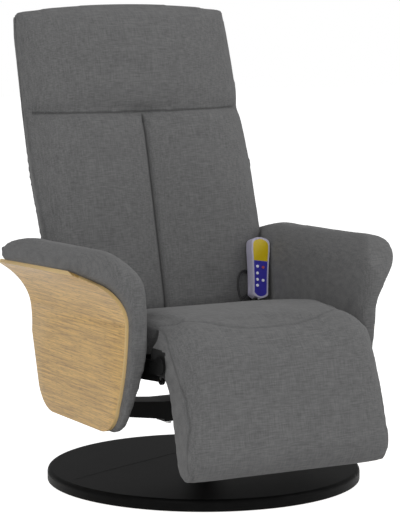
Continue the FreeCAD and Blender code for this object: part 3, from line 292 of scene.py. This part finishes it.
# %% Leather, paint, plastic and metal
def grained(name, dark, light, roughness, scale, bump, reach, **more):
    material, tree = new_material(name)
    place = add(tree, "TexCoord").outputs["Object"]
    cells = add(tree, "TexVoronoi", Vector=place, Scale=scale, feature="SMOOTH_F1").outputs["Distance"]
    cloud = add(tree, "TexNoise", Vector=place, Scale=scale / 18.0, Detail=4.0).outputs["Fac"]
    colour = ramp(tree, cloud, (0.3, dark), (0.7, light))
    surface(tree, colour, roughness, cells, bump, reach, **more)
    return material


FINISH_TABLE = (
    ("black_leather", grey(0.0025), grey(0.005), 0.5, 620.0, 0.35, 0.0005, {"Specular_IOR_Level": 0.05}),
    ("black_steel", grey(0.003), grey(0.005), 0.5, 1500.0, 0.15, 0.0002, {"Specular_IOR_Level": 0.2}),
    ("black_plastic", grey(0.01), grey(0.016), 0.48, 900.0, 0.12, 0.0002, {}),
    ("black_cloth", grey(0.006), grey(0.011), 0.95, 1100.0, 0.4, 0.0004, {}),
    ("zinc_steel", grey(0.42), grey(0.56), 0.34, 700.0, 0.08, 0.0002, {"Metallic": 1.0}),
    ("plywood", (0.45, 0.31, 0.16, 1.0), (0.58, 0.43, 0.25, 1.0), 0.7, 300.0, 0.2, 0.0004, {}),
    ("cord_black", grey(0.008), grey(0.013), 0.6, 1300.0, 0.1, 0.0002, {}),
    ("circuit_green", (0.015, 0.1, 0.04, 1.0), (0.03, 0.15, 0.06, 1.0), 0.4, 500.0, 0.1, 0.0002, {}),
    ("remote_shell", (0.45, 0.43, 0.55, 1.0), (0.5, 0.48, 0.6, 1.0), 0.45, 1500.0, 0.1, 0.0001, {}),
    ("remote_yellow", (0.56, 0.41, 0.0, 1.0), (0.62, 0.46, 0.004, 1.0), 0.3, 900.0, 0.05, 0.0001, {}),
    ("remote_blue", (0.034, 0.028, 0.31, 1.0), (0.042, 0.034, 0.36, 1.0), 0.3, 900.0, 0.05, 0.0001, {}),
    ("button_white", (0.82, 0.82, 0.92, 1.0), (0.9, 0.9, 1.0, 1.0), 0.5, 900.0, 0.05, 0.0001, {}),
    ("button_red", (0.4, 0.07, 0.09, 1.0), (0.46, 0.09, 0.11, 1.0), 0.5, 900.0, 0.05, 0.0001, {}),
)
for *row, more in FINISH_TABLE:
    FINISHES[row[0]] = grained(*row, **more)
for part in frame["record"]["subparts"]:
    mesh = nodes[part["node"]].data
    mesh.materials.clear()
    mesh.materials.append(FINISHES[part["material_slot"]])
print("finished", len(nodes), "nodes")


# %% [markdown]
# ## Helpers for soft pieces
# A cushion starts as a copy of its solid. A voxel remesh gives it even faces, a relaxing pass rounds the
# edges as foam does, and a short cloth simulation blows the cover up. Each point may move only as far as
# its room allows, so a cushion stays clear of its neighbours.

# %% Mesh helpers
MERGE_WITHIN = 2e-5


def copied(node, name):
    mesh = nodes[node].data.copy()
    mesh.materials.clear()
    piece = bpy.data.objects.new(name, mesh)
    scene.collection.objects.link(piece)
    shape = bmesh.new()
    shape.from_mesh(mesh)
    bmesh.ops.remove_doubles(shape, verts=shape.verts, dist=MERGE_WITHIN)
    shape.to_mesh(mesh)
    shape.free()
    return piece


def applied(piece):
    """Turns what the piece's modifiers give into its own mesh."""
    graph = bpy.context.evaluated_depsgraph_get()
    mesh = bpy.data.meshes.new_from_object(piece.evaluated_get(graph))
    old = piece.data
    piece.modifiers.clear()
    piece.data = mesh
    bpy.data.meshes.remove(old)


def points_of(mesh):
    places = np.empty(len(mesh.vertices) * 3)
    mesh.vertices.foreach_get("co", places)
    return places.reshape(-1, 3)


def normals_of(mesh):
    ways = np.empty(len(mesh.vertices) * 3)
    mesh.vertices.foreach_get("normal", ways)
    return ways.reshape(-1, 3)


def set_points(mesh, places):
    mesh.vertices.foreach_set("co", places.ravel())
    mesh.update()


def relaxed(mesh, rounds, push=0.5, pull=-0.52, hold=None):
    """Smooths by moving each point towards its neighbours and back, so that the volume stays."""
    ends = np.empty(len(mesh.edges) * 2, dtype=np.int64)
    mesh.edges.foreach_get("vertices", ends)
    first, second = ends.reshape(-1, 2).T
    places = points_of(mesh)
    count = np.bincount(ends, minlength=len(places))[:, None]
    free = 1.0 if hold is None else hold[:, None]
    for step in range(rounds * 2):
        total = np.zeros_like(places)
        for axis in range(3):
            total[:, axis] = (np.bincount(first, places[second, axis], len(places))
                              + np.bincount(second, places[first, axis], len(places)))
        places = places + free * (push if step % 2 == 0 else pull) * (total / count - places)
    set_points(mesh, places)


def remeshed(piece, voxel):
    grid = piece.modifiers.new("grid", "REMESH")
    grid.mode = "VOXEL"
    grid.voxel_size = voxel
    applied(piece)


COVER_STEPS = 20


def swollen(piece, pressure, room):
    """Blows the cover up; room gives each point's largest move in metres."""
    start = points_of(piece.data)
    cloth = piece.modifiers.new("cover", "CLOTH")
    settings = cloth.settings
    settings.quality = 4
    settings.mass = 0.3
    settings.tension_stiffness = 12.0
    settings.compression_stiffness = 12.0
    settings.shear_stiffness = 5.0
    settings.bending_stiffness = 0.6
    settings.use_pressure = True
    settings.uniform_pressure_force = pressure
    settings.effector_weights.gravity = 0.0
    cloth.point_cache.frame_start = 1
    cloth.point_cache.frame_end = COVER_STEPS
    for step in range(1, COVER_STEPS + 1):
        scene.frame_set(step)
    graph = bpy.context.evaluated_depsgraph_get()
    shown = piece.evaluated_get(graph)
    moved = points_of(shown.data) - start
    piece.modifiers.clear()
    scene.frame_set(1)
    far = np.linalg.norm(moved, axis=1)
    scale = np.minimum(1.0, room / np.maximum(far, 1e-9))
    set_points(piece.data, start + moved * scale[:, None])
    print(piece.name, "swelled by", round(float((far * scale).max()) * 1000, 1), "mm")


def smooth_shaded(mesh):
    mesh.polygons.foreach_set("use_smooth", np.ones(len(mesh.polygons), dtype=bool))


def finer(piece):
    step = piece.modifiers.new("finer", "SUBSURF")
    step.levels = 1
    step.render_levels = 1
    applied(piece)


def united(name, grow, voxel, place, discs, *parts):
    """One closed surface over several solids, each grown a little so that they run into each other.

    The surface is found on a grid that lies along the given place, so straight edges stay straight.
    Discs close holes.
    """
    whole = bmesh.new()
    for part in parts:
        whole.from_mesh(nodes[part].data)
    bmesh.ops.remove_doubles(whole, verts=whole.verts, dist=MERGE_WITHIN)
    whole.normal_update()
    for vert in whole.verts:
        vert.co += vert.normal * grow
    for centre, radius, depth in discs:
        across = Matrix.Translation(centre) @ Matrix.Rotation(math.radians(90.0), 4, "Y")
        bmesh.ops.create_cone(whole, cap_ends=True, segments=64, radius1=radius, radius2=radius, depth=depth,
                              matrix=across)
    mesh = bpy.data.meshes.new(name)
    whole.to_mesh(mesh)
    whole.free()
    mesh.transform(place.inverted())
    piece = bpy.data.objects.new(name, mesh)
    scene.collection.objects.link(piece)
    remeshed(piece, voxel)
    piece.data.transform(place)
    return piece


# %% [markdown]
# ## Helpers for seams
# A seam is a line that draws the cover in. It could be modelled as a groove, but here its route is laid
# onto the finished cover, and each point near it sinks a little. The same distance gives a dark line of
# painted shade along the seam, where the groove's shade would fall.

# %% Seam helpers
SEAM_SHADE_HALF = 0.0026
RAY_FROM = 0.2


def laid(piece, route, way, step=0.006):
    """Samples of a route, each brought onto the piece's surface, along a way or to the nearest place."""
    mesh = piece.data

    def landed(place):
        if way is not None:
            hit = tree.ray_cast(place - way * RAY_FROM, way)[0]
            if hit is not None:
                return hit
        return tree.find_nearest(place)[0]

    tree = BVHTree.FromPolygons([v.co for v in mesh.vertices], [p.vertices for p in mesh.polygons])
    samples = []
    for start, end in zip(route, route[1:]):
        start = Vector(start)
        run = Vector(end) - start
        count = max(1, round(run.length / step))
        samples += [landed(start + run * (k / count)) for k in range(count)]
    samples.append(landed(Vector(route[-1])))
    return samples


def route_distance(places, route):
    """Each point's distance to a line of straight runs."""
    best = np.full(len(places), 1e9)
    for start, end in zip(route, route[1:]):
        start = np.array(start)
        run = np.array(end) - start
        share = np.clip((places - start) @ run / max(run @ run, 1e-12), 0.0, 1.0)
        best = np.minimum(best, np.linalg.norm(places - start - share[:, None] * run, axis=1))
    return best


def sewn(piece, *seams):
    """Draws the cover in along seams and notes how much painted shade each point gets.

    A seam is its route, the way it is laid on, its depth, its width and how dark its painted shade is.
    """
    mesh = piece.data
    places = points_of(mesh)
    ways = normals_of(mesh)
    sunk = np.zeros(len(places))
    shade = np.zeros(len(places))
    for route, way, depth, width, dark in seams:
        near = route_distance(places, laid(piece, route, way))
        sunk = np.maximum(sunk, depth * np.exp(-(near / width) ** 2))
        # Painted shade: a dark line along each seam, passed to the colour through the seam attribute.
        shade = np.maximum(shade, dark * np.exp(-(near / SEAM_SHADE_HALF) ** 2))
    set_points(mesh, places - ways * sunk[:, None])
    note = mesh.attributes.new("seam", "FLOAT", "POINT")
    note.data.foreach_set("value", shade)


def calmed(piece, route, way, reach, rounds):
    """Evens the cover out beside a seam before it is drawn in."""
    near = route_distance(points_of(piece.data), laid(piece, route, way))
    relaxed(piece.data, rounds, pull=0.0, hold=np.exp(-(near / reach) ** 2))


# %% Mirroring and dressing
def mirrored_copy(piece, name):
    mesh = piece.data.copy()
    mesh.transform(Matrix.Scale(-1.0, 4, (1.0, 0.0, 0.0)))
    mesh.flip_normals()
    twin = bpy.data.objects.new(name, mesh)
    scene.collection.objects.link(twin)
    return twin


def dressed(piece, body, slot, *replaced, material=None, fill=None):
    piece.data.materials.clear()
    piece.data.materials.append(material or FINISHES[slot])
    smooth_shaded(piece.data)
    if body:
        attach(piece, body)
    if replaced:
        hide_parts(*replaced)
    print(piece.name, len(piece.data.polygons), "faces")


# %% [markdown]
# ## The cushions
# Seat, legrest, back, headrest and arm pads are foam under cloth. The seat's cover runs on over the
# legrest, so the two solids get one skin that also covers the legrest's joint. The back's halves and
# headrest share a skin too, drawn in along the seams. The skins follow their solids closely, because those
# hold the joints' clearances.

# %% Seat and legrest
SKIN_GROW = 0.0012
SEAT_VOXEL = 0.0065
FACING_FROM = 0.2
FACING_SPAN = 0.5


def up_room(piece, ways, most, least):
    """Room for swelling: most where the surface faces one of the given ways, least elsewhere."""
    normals = normals_of(piece.data)
    facing = np.zeros(len(normals))
    for way in ways:
        way = np.array(way) / np.linalg.norm(way)
        facing = np.maximum(facing, np.clip((normals @ way - FACING_FROM) / FACING_SPAN, 0.0, 1.0))
    return least + (most - least) * facing


CHEEK_X = 0.2375
CHEEK_RADIUS = 0.058
CHEEK_THICK = 0.008
PIVOT = (-0.262, 0.312)
cheeks = [((way * CHEEK_X, *PIVOT), CHEEK_RADIUS, CHEEK_THICK) for way in (-1, 1)]
seat = united("seat_and_legrest", SKIN_GROW, SEAT_VOXEL, Matrix.Identity(4), cheeks, "seat_cushion",
              "legrest_pad")
relaxed(seat.data, 10)

# %% [markdown]
# ## The seat's lip and cheeks
# Where the cover runs over the seat's front edge it is drawn tight, so the small step between the two
# solids is smoothed away. Beside the joint the cover's side ends in a short flap, which is tucked up.

# %% Lip and cheeks
LIP_Y = -0.255
LIP_REACH = 0.075
LIP_FROM = 0.365
LIP_ROUNDS = 22
FLAP_X = 0.21
FLAP_REACH = 0.08
FLAP_FRONT = 0.288
FLAP_FADE = 0.02
CHEEK_FOOT = 0.3
CHEEK_TUCK = 0.7
around = points_of(seat.data)
lip = (np.abs(around[:, 1] - LIP_Y) < LIP_REACH) & (around[:, 2] > LIP_FROM)
relaxed(seat.data, LIP_ROUNDS, pull=0.0, hold=lip.astype(float))
side_x, side_y, side_z = np.abs(around[:, 0]), around[:, 1], around[:, 2]
near_pivot = np.hypot(side_y - PIVOT[0], side_z - PIVOT[1]) < FLAP_REACH
flap = (side_x > FLAP_X) & (side_z < CHEEK_FOOT) & near_pivot
tuck = np.where(flap, np.clip((side_y + FLAP_FRONT) / FLAP_FADE, 0.0, 1.0), 0.0)
around = points_of(seat.data)
around[:, 2] += tuck * CHEEK_TUCK * (CHEEK_FOOT - around[:, 2])
set_points(seat.data, around)
relaxed(seat.data, 4)
swollen(seat, 3.0, up_room(seat, [(0, -0.2, 1), (0, -1, 0.25)], 0.006, 0.001))
relaxed(seat.data, 3)
finer(seat)
print("lip points", int(lip.sum()), "flap points", int(flap.sum()))

# %% Seat seams
BOW_HALF = 0.236
BOW_FRONT = -0.298
BOW_SWEEP = 0.093
BOW_LEVEL = 0.385
BOW_RISE = 0.013
bow_shares = [k / 8 - 1 for k in range(17)]
bow_seam = [(BOW_HALF * t, BOW_FRONT + BOW_SWEEP * abs(t) ** 3, BOW_LEVEL + BOW_RISE * t * t)
            for t in bow_shares]
EDGE_SEAM_X = 0.232
LEGREST_EDGE = ((-202.0, 392.0), (-236.0, 385.0), (-262.0, 372.0), (-291.0, 349.0), (-310.0, 321.0),
                (-347.0, 254.0), (-367.0, 195.0), (-373.0, 91.0), (-366.0, 72.0))
edge_seams = [[(way * EDGE_SEAM_X, y * MM, z * MM) for y, z in LEGREST_EDGE] for way in (-1, 1)]
# Each seam's last number is how dark its painted shade line is.
sewn(seat, (bow_seam, Vector((0.0, 0.4, -0.9165)), 0.0014, 0.004, 0.26),
     *[(route, None, 0.0009, 0.005, 0.4) for route in edge_seams])
dressed(seat, None, "fabric_grey", "seat_cushion", "legrest_pad", fill=0.7)

# %% Black sides beside the joint
BLACK_X = 0.222
BLACK_TOP = 0.343
BLACK_AHEAD = 0.012
BLACK_REACH = 0.072
seat.data.materials.append(FINISHES["black_cloth"])
black_sides = 0
for polygon in seat.data.polygons:
    x, y, z = polygon.center
    beside = abs(x) > BLACK_X and z < BLACK_TOP and y > PIVOT[0] - BLACK_AHEAD
    if beside and math.hypot(y - PIVOT[0], z - PIVOT[1]) < BLACK_REACH:
        polygon.material_index = 1
        black_sides += 1
print("black side faces", black_sides)
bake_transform(seat)

# %% [markdown]
# ## The back
# The back is two upright cushions under a headrest, sewn into one cover. The three solids get one skin, on
# a grid that leans with the back. The seam under the headrest is deep and the middle seam is narrow.

# %% Back
BACK_PLACE = Matrix.Translation((0.0, 0.215, 0.3)) @ Matrix.Rotation(math.radians(-14.0), 4, "X")
BACK_VOXEL = 0.0068


def on_back(x, depth, level):
    """A place on the leaning back, from the middle, the board's line and the pivot, in millimetres."""
    return BACK_PLACE @ (Vector((x, depth, level)) * MM)


back = united("back_upholstery", SKIN_GROW, BACK_VOXEL, BACK_PLACE, [], "back_cushion_left",
              "back_cushion_right", "head_cushion")
relaxed(back.data, 9)
swollen(back, 3.0, up_room(back, [(0, -1, 0.25)], 0.007, 0.001))
relaxed(back.data, 2)
finer(back)
HEAD_SEAM = ((-266.0, -12.0, 519.0), (-200.0, -26.0, 515.0), (-100.0, -36.0, 511.0), (0.0, -38.0, 508.0),
             (100.0, -36.0, 511.0), (200.0, -26.0, 515.0), (266.0, -12.0, 519.0))
MIDDLE_SEAM = ((0.0, -34.0, 500.0), (0.0, -44.0, 440.0), (0.0, -44.0, 220.0), (0.0, -44.0, 60.0),
               (0.0, -36.0, 26.0))
BACK_EDGE = ((277.0, -8.0, 510.0), (281.0, -16.0, 450.0), (282.0, -24.0, 375.0), (281.0, -36.0, 290.0),
             (276.0, -44.0, 215.0))
EDGE_FROM = 0.235
EDGE_FADE = 0.02
rearward = BACK_PLACE.to_3x3() @ Vector((0.0, 1.0, 0.0))
head_seam = [on_back(*p) for p in HEAD_SEAM]
calmed(back, head_seam, rearward, 0.022, 60)
back_x = np.abs(points_of(back.data)[:, 0])
relaxed(back.data, 30, hold=np.clip((back_x - EDGE_FROM) / EDGE_FADE, 0.0, 1.0))
# The back's side edges get painted shade lines only, with no groove.
sewn(back, (head_seam, rearward, 0.009, 0.012, 0.75),
     ([on_back(*p) for p in MIDDLE_SEAM], rearward, 0.006, 0.0055, 0.9),
     ([on_back(*p) for p in BACK_EDGE], None, 0.0, 0.004, 0.25),
     ([on_back(-p[0], p[1], p[2]) for p in BACK_EDGE], None, 0.0, 0.004, 0.25))
dressed(back, "back", "fabric_grey", "back_cushion_left", "back_cushion_right", "head_cushion", fill=0.7)

# %% Rear panel
REAR_VOXEL = 0.005
rear_cover = copied("back_cover", "rear_panel")
remeshed(rear_cover, REAR_VOXEL)
relaxed(rear_cover.data, 6)
sewn(rear_cover)
dressed(rear_cover, "back", "fabric_grey", "back_cover", fill=0.9)

# %% [markdown]
# ## The arm pads
# Each arm has a thick pad whose top rolls outwards over the wood. One pad is made and mirrored. Then each
# front corner is shaped by itself: on the right arm the padding looks fuller, and on the left arm it lies
# back, so that the wood's rim shows.

# %% Arm pads
ARM_VOXEL = 0.0055
ROLL_FROM = 0.47
ROLL_FADE = 0.04
ROLL_FULL = 0.003
CORNER_FULL = {"right": 0.011, "left": -0.005}
CORNER_ROUNDS = {"right": 0, "left": 24}
CORNER_FOOT = 0.42
CORNER_RISE = 0.06
CORNER_BACK = -0.09
CORNER_RUN = 0.1
CORNER_TURN = 1.5


def corner_filled(piece, way, full, rounds):
    """Pushes an arm's front corner outwards, or inwards beside the wood's rim, and rounds it."""
    places = points_of(piece.data)
    facing = np.clip(way * normals_of(piece.data)[:, 0] * CORNER_TURN, 0.0, 1.0)
    high = np.clip((places[:, 2] - CORNER_FOOT) / CORNER_RISE, 0.0, 1.0)
    ahead = np.clip((CORNER_BACK - places[:, 1]) / CORNER_RUN, 0.0, 1.0)
    places[:, 0] += way * full * high * ahead * facing
    set_points(piece.data, places)
    relaxed(piece.data, rounds, pull=0.0, hold=high * ahead)
    relaxed(piece.data, 4)
    finer(piece)
    sewn(piece)


arm_right = copied("arm_pad_right", "armrest_right")
remeshed(arm_right, ARM_VOXEL)
relaxed(arm_right.data, 20)
swollen(arm_right, 3.0, up_room(arm_right, [(0, -0.3, 1)], 0.005, 0.001))
relaxed(arm_right.data, 3)
arm_places = points_of(arm_right.data)
roll = np.clip((arm_places[:, 2] - ROLL_FROM) / ROLL_FADE, 0.0, 1.0)
set_points(arm_right.data, arm_places + normals_of(arm_right.data) * (ROLL_FULL * roll)[:, None])
arm_left = mirrored_copy(arm_right, "armrest_left")
corner_filled(arm_right, 1, CORNER_FULL["right"], CORNER_ROUNDS["right"])
corner_filled(arm_left, -1, CORNER_FULL["left"], CORNER_ROUNDS["left"])
dressed(arm_right, "chassis", "fabric_grey", "arm_pad_right", fill=0.8)
dressed(arm_left, "chassis", "fabric_grey", "arm_pad_left", fill=0.8)

# %% [markdown]
# ## The crevice shade strips
# Beside the back there is a narrow crevice in shade. A thin black strip on the inside of each arm is
# painted shade there, standing in for the crevice's shade.

# %% Crevice shade strips
CREVICE_SHADE_LOW = (0.259, 0.249, 0.3)
CREVICE_SHADE_HIGH = (0.289, 0.251, 0.405)


def crevice_shade_strip(name, way):
    """A thin black strip on the arm's inside: painted shade for the crevice beside the back."""
    shape = bmesh.new()
    size = Vector(CREVICE_SHADE_HIGH) - Vector(CREVICE_SHADE_LOW)
    middle = (Vector(CREVICE_SHADE_HIGH) + Vector(CREVICE_SHADE_LOW)) / 2
    middle.x *= way
    bmesh.ops.create_cube(shape, size=1.0, matrix=Matrix.Translation(middle) @ Matrix.Diagonal((*size, 1.0)))
    mesh = bpy.data.meshes.new(name)
    shape.to_mesh(mesh)
    shape.free()
    mesh.materials.append(FINISHES["black_cloth"])
    strip = bpy.data.objects.new(name, mesh)
    scene.collection.objects.link(strip)
    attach(strip, "chassis")


# Painted shade: black strips in the crevices beside the back.
crevice_shade_strip("crevice_shade_right", 1)
crevice_shade_strip("crevice_shade_left", -1)
print("shade_strips from", CREVICE_SHADE_LOW, "to", CREVICE_SHADE_HIGH)

# %% [markdown]
# ## The oak arms
# Each arm is a bent sheet of plywood with an oak face. The panel keeps its solid's shape, its edges are
# eased with a small bevel, and the edge faces get a lighter wood, as cut plies have.

# %% Arm panels
WOOD_TURN = (0.428, 0.386)
PANEL_EASE = 0.0012
EASE_ANGLE = math.radians(50.0)


def eased_panel(node, name, width):
    piece = copied(node, name)
    ease = piece.modifiers.new("ease", "BEVEL")
    ease.width = width
    ease.segments = 3
    ease.limit_method = "ANGLE"
    ease.angle_limit = EASE_ANGLE
    applied(piece)
    return piece


def is_cut_edge(polygon):
    """Whether a face belongs to the rim: the sheet's own faces look sideways or follow the bend."""
    centre = polygon.center
    turn_x = math.copysign(WOOD_TURN[0], centre.x)
    out = Vector((centre.x - turn_x, 0.0, centre.z - WOOD_TURN[1]))
    if centre.z < WOOD_TURN[1]:
        out = Vector((1.0, 0.0, 0.0))
    return abs(polygon.normal.dot(out.normalized())) < 0.8


for side in ("left", "right"):
    panel = eased_panel("arm_panel_" + side, "oak_arm_" + side, PANEL_EASE)
    dressed(panel, "chassis", "oak_veneer", "arm_panel_" + side)
    panel.data.materials.append(oak_edge)
    rim = 0
    for polygon in panel.data.polygons:
        polygon.material_index = 1 if is_cut_edge(polygon) else 0
        rim += polygon.material_index
    print("rim faces", rim, "of", len(panel.data.polygons))

# %% [markdown]
# ## The base's sewn cover
# The leather on the base is sewn from two pieces, and the seam with its stitches crosses the top. Stitches
# could be placed one by one, but Geometry Nodes set one thread at each step of the seam's route, so that the
# pitch can be changed in one place.

# %% Base seam
BASE_TOP = 0.027
BASE_SEAM = ((-316.0, 4.0), (-240.0, 38.0), (-162.0, 71.0), (-80.0, 105.0), (2.0, 139.0), (120.0, 188.0),
             (230.0, 234.0))
THREAD_RISE = 0.0002
THREAD_PITCH = 0.0045
THREAD_LENGTH = 0.0034
THREAD_THICK = 0.0011


def stitched(name, route, pitch, length, thick, finish):
    """A row of small threads along a route, one at each step of the pitch."""
    mesh = bpy.data.meshes.new(name)
    mesh.from_pydata([tuple(p) for p in route], [(k, k + 1) for k in range(len(route) - 1)], [])
    piece = bpy.data.objects.new(name, mesh)
    scene.collection.objects.link(piece)
    group = bpy.data.node_groups.new(name, "GeometryNodeTree")
    group.interface.new_socket("Geometry", in_out="INPUT", socket_type="NodeSocketGeometry")
    pitch_in = group.interface.new_socket("Pitch", in_out="INPUT", socket_type="NodeSocketFloat")
    size_in = group.interface.new_socket("Size", in_out="INPUT", socket_type="NodeSocketVector")
    group.interface.new_socket("Geometry", in_out="OUTPUT", socket_type="NodeSocketGeometry")
    enter = group.nodes.new("NodeGroupInput")
    leave = group.nodes.new("NodeGroupOutput")
    curve = group.nodes.new("GeometryNodeMeshToCurve")
    spaced = group.nodes.new("GeometryNodeResampleCurve")
    spaced.mode = "LENGTH"
    thread = group.nodes.new("GeometryNodeMeshUVSphere")
    thread.inputs["Segments"].default_value = 8
    thread.inputs["Rings"].default_value = 6
    thread.inputs["Radius"].default_value = 0.5
    along = group.nodes.new("GeometryNodeInputTangent")
    turn = group.nodes.new("FunctionNodeAlignRotationToVector")
    turn.axis = "Z"
    sown = group.nodes.new("GeometryNodeInstanceOnPoints")
    real = group.nodes.new("GeometryNodeRealizeInstances")
    tint = group.nodes.new("GeometryNodeSetMaterial")
    tint.inputs["Material"].default_value = finish
    link = group.links.new
    link(enter.outputs["Geometry"], curve.inputs["Mesh"])
    link(curve.outputs["Curve"], spaced.inputs["Curve"])
    link(enter.outputs["Pitch"], spaced.inputs["Length"])
    link(spaced.outputs["Curve"], sown.inputs["Points"])
    link(thread.outputs["Mesh"], sown.inputs["Instance"])
    link(along.outputs["Tangent"], turn.inputs["Vector"])
    link(turn.outputs["Rotation"], sown.inputs["Rotation"])
    link(enter.outputs["Size"], sown.inputs["Scale"])
    link(sown.outputs["Instances"], real.inputs["Geometry"])
    link(real.outputs["Geometry"], tint.inputs["Geometry"])
    link(tint.outputs["Geometry"], leave.inputs["Geometry"])
    row = piece.modifiers.new("row", "NODES")
    row.node_group = group
    row[pitch_in.identifier] = pitch
    row[size_in.identifier] = (thick, thick, length)
    applied(piece)
    smooth_shaded(piece.data)
    return piece


seam_line = [(x * MM, y * MM, BASE_TOP + THREAD_RISE) for x, y in BASE_SEAM]
base_thread = stitched("base_thread", seam_line, THREAD_PITCH, THREAD_LENGTH, THREAD_THICK,
                       FINISHES["cord_black"])
print("base thread", len(base_thread.data.polygons), "faces")
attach(base_thread, "base")

# %% [markdown]
# ## The remote and its cord
# The remote's two shells are copies of their solids with rounded outer edges. Only the outer rims are marked
# for the bevel, so the buttons' holes stay sharp. A thin cord leaves the remote's foot, makes one loop beside
# and behind it, and goes down into the seat's grommet. It is a spline through the same points as the solid.

# %% Remote shells
REMOTE_PLACE = (Matrix.Translation((0.223, 0.142, 0.369)) @ Matrix.Rotation(math.radians(-16.0), 4, "X")
                @ Matrix.Rotation(math.radians(9.0), 4, "Y"))
REMOTE_HALF_DEPTH = 0.013
REMOTE_MIDDLE = Vector((0.0, 0.0, 0.07))
FACE_RIM = 0.0028
BACK_RIM = 0.005


def rounded_shell(node, name, face_y, width):
    """A remote's shell with its outer rim rounded and its inside edges left sharp."""
    piece = copied(node, name)
    piece.data.transform(REMOTE_PLACE.inverted())
    shape = bmesh.new()
    shape.from_mesh(piece.data)
    shape.normal_update()
    weight = shape.edges.layers.float.new("bevel_weight_edge")
    for edge in shape.edges:
        on_face = all(abs(vert.co.y - face_y) < 1e-5 for vert in edge.verts)
        if not on_face or len(edge.link_faces) != 2:
            continue
        middle = (edge.verts[0].co + edge.verts[1].co) / 2 - REMOTE_MIDDLE
        wall = min(edge.link_faces, key=lambda face: abs(face.normal.y))
        flat = max(edge.link_faces, key=lambda face: abs(face.normal.y))
        if abs(wall.normal.y) < 0.2 and abs(flat.normal.y) > 0.9 and wall.normal.dot(middle) > 0.0:
            edge[weight] = 1.0
    shape.to_mesh(piece.data)
    shape.free()
    ease = piece.modifiers.new("ease", "BEVEL")
    ease.limit_method = "WEIGHT"
    ease.width = width
    ease.segments = 4
    applied(piece)
    piece.data.transform(REMOTE_PLACE)
    piece.data.materials.clear()
    piece.data.materials.append(FINISHES["remote_shell"])
    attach(piece, "remote")
    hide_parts(node)
    print(name, len(piece.data.polygons), "faces")


rounded_shell("remote_front", "remote_face_shell", -REMOTE_HALF_DEPTH, FACE_RIM)
rounded_shell("remote_rear", "remote_back_shell", REMOTE_HALF_DEPTH, BACK_RIM)

# %% Cord
CORD_DIAMETER = 0.005
CORD_ROUTE = ((205.0, 140.8, 364.7), (198.0, 139.85, 361.4), (187.5, 143.0, 361.5), (180.0, 148.5, 371.5),
              (178.0, 156.0, 390.0), (181.0, 164.0, 410.0), (191.0, 172.0, 427.0), (207.0, 178.0, 434.0),
              (221.5, 178.5, 426.0), (226.0, 175.0, 408.0), (221.0, 169.5, 391.0), (209.0, 164.5, 379.0),
              (196.0, 159.5, 373.0), (187.5, 155.8, 368.0), (185.0, 153.22, 362.04), (185.0, 152.05, 354.63))
cord_curve = bpy.data.curves.new("remote_lead", "CURVE")
cord_curve.dimensions = "3D"
cord_curve.bevel_depth = CORD_DIAMETER / 2
cord_curve.bevel_resolution = 5
cord_curve.resolution_u = 8
cord_curve.use_fill_caps = True
line = cord_curve.splines.new("NURBS")
line.points.add(len(CORD_ROUTE) - 1)
for point, place in zip(line.points, CORD_ROUTE):
    point.co = (place[0] * MM, place[1] * MM, place[2] * MM, 1.0)
line.order_u = 3
line.use_endpoint_u = True
cord = bpy.data.objects.new("remote_lead", cord_curve)
cord.data.materials.append(FINISHES["cord_black"])
scene.collection.objects.link(cord)
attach(cord, "chassis")
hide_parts("remote_cord")
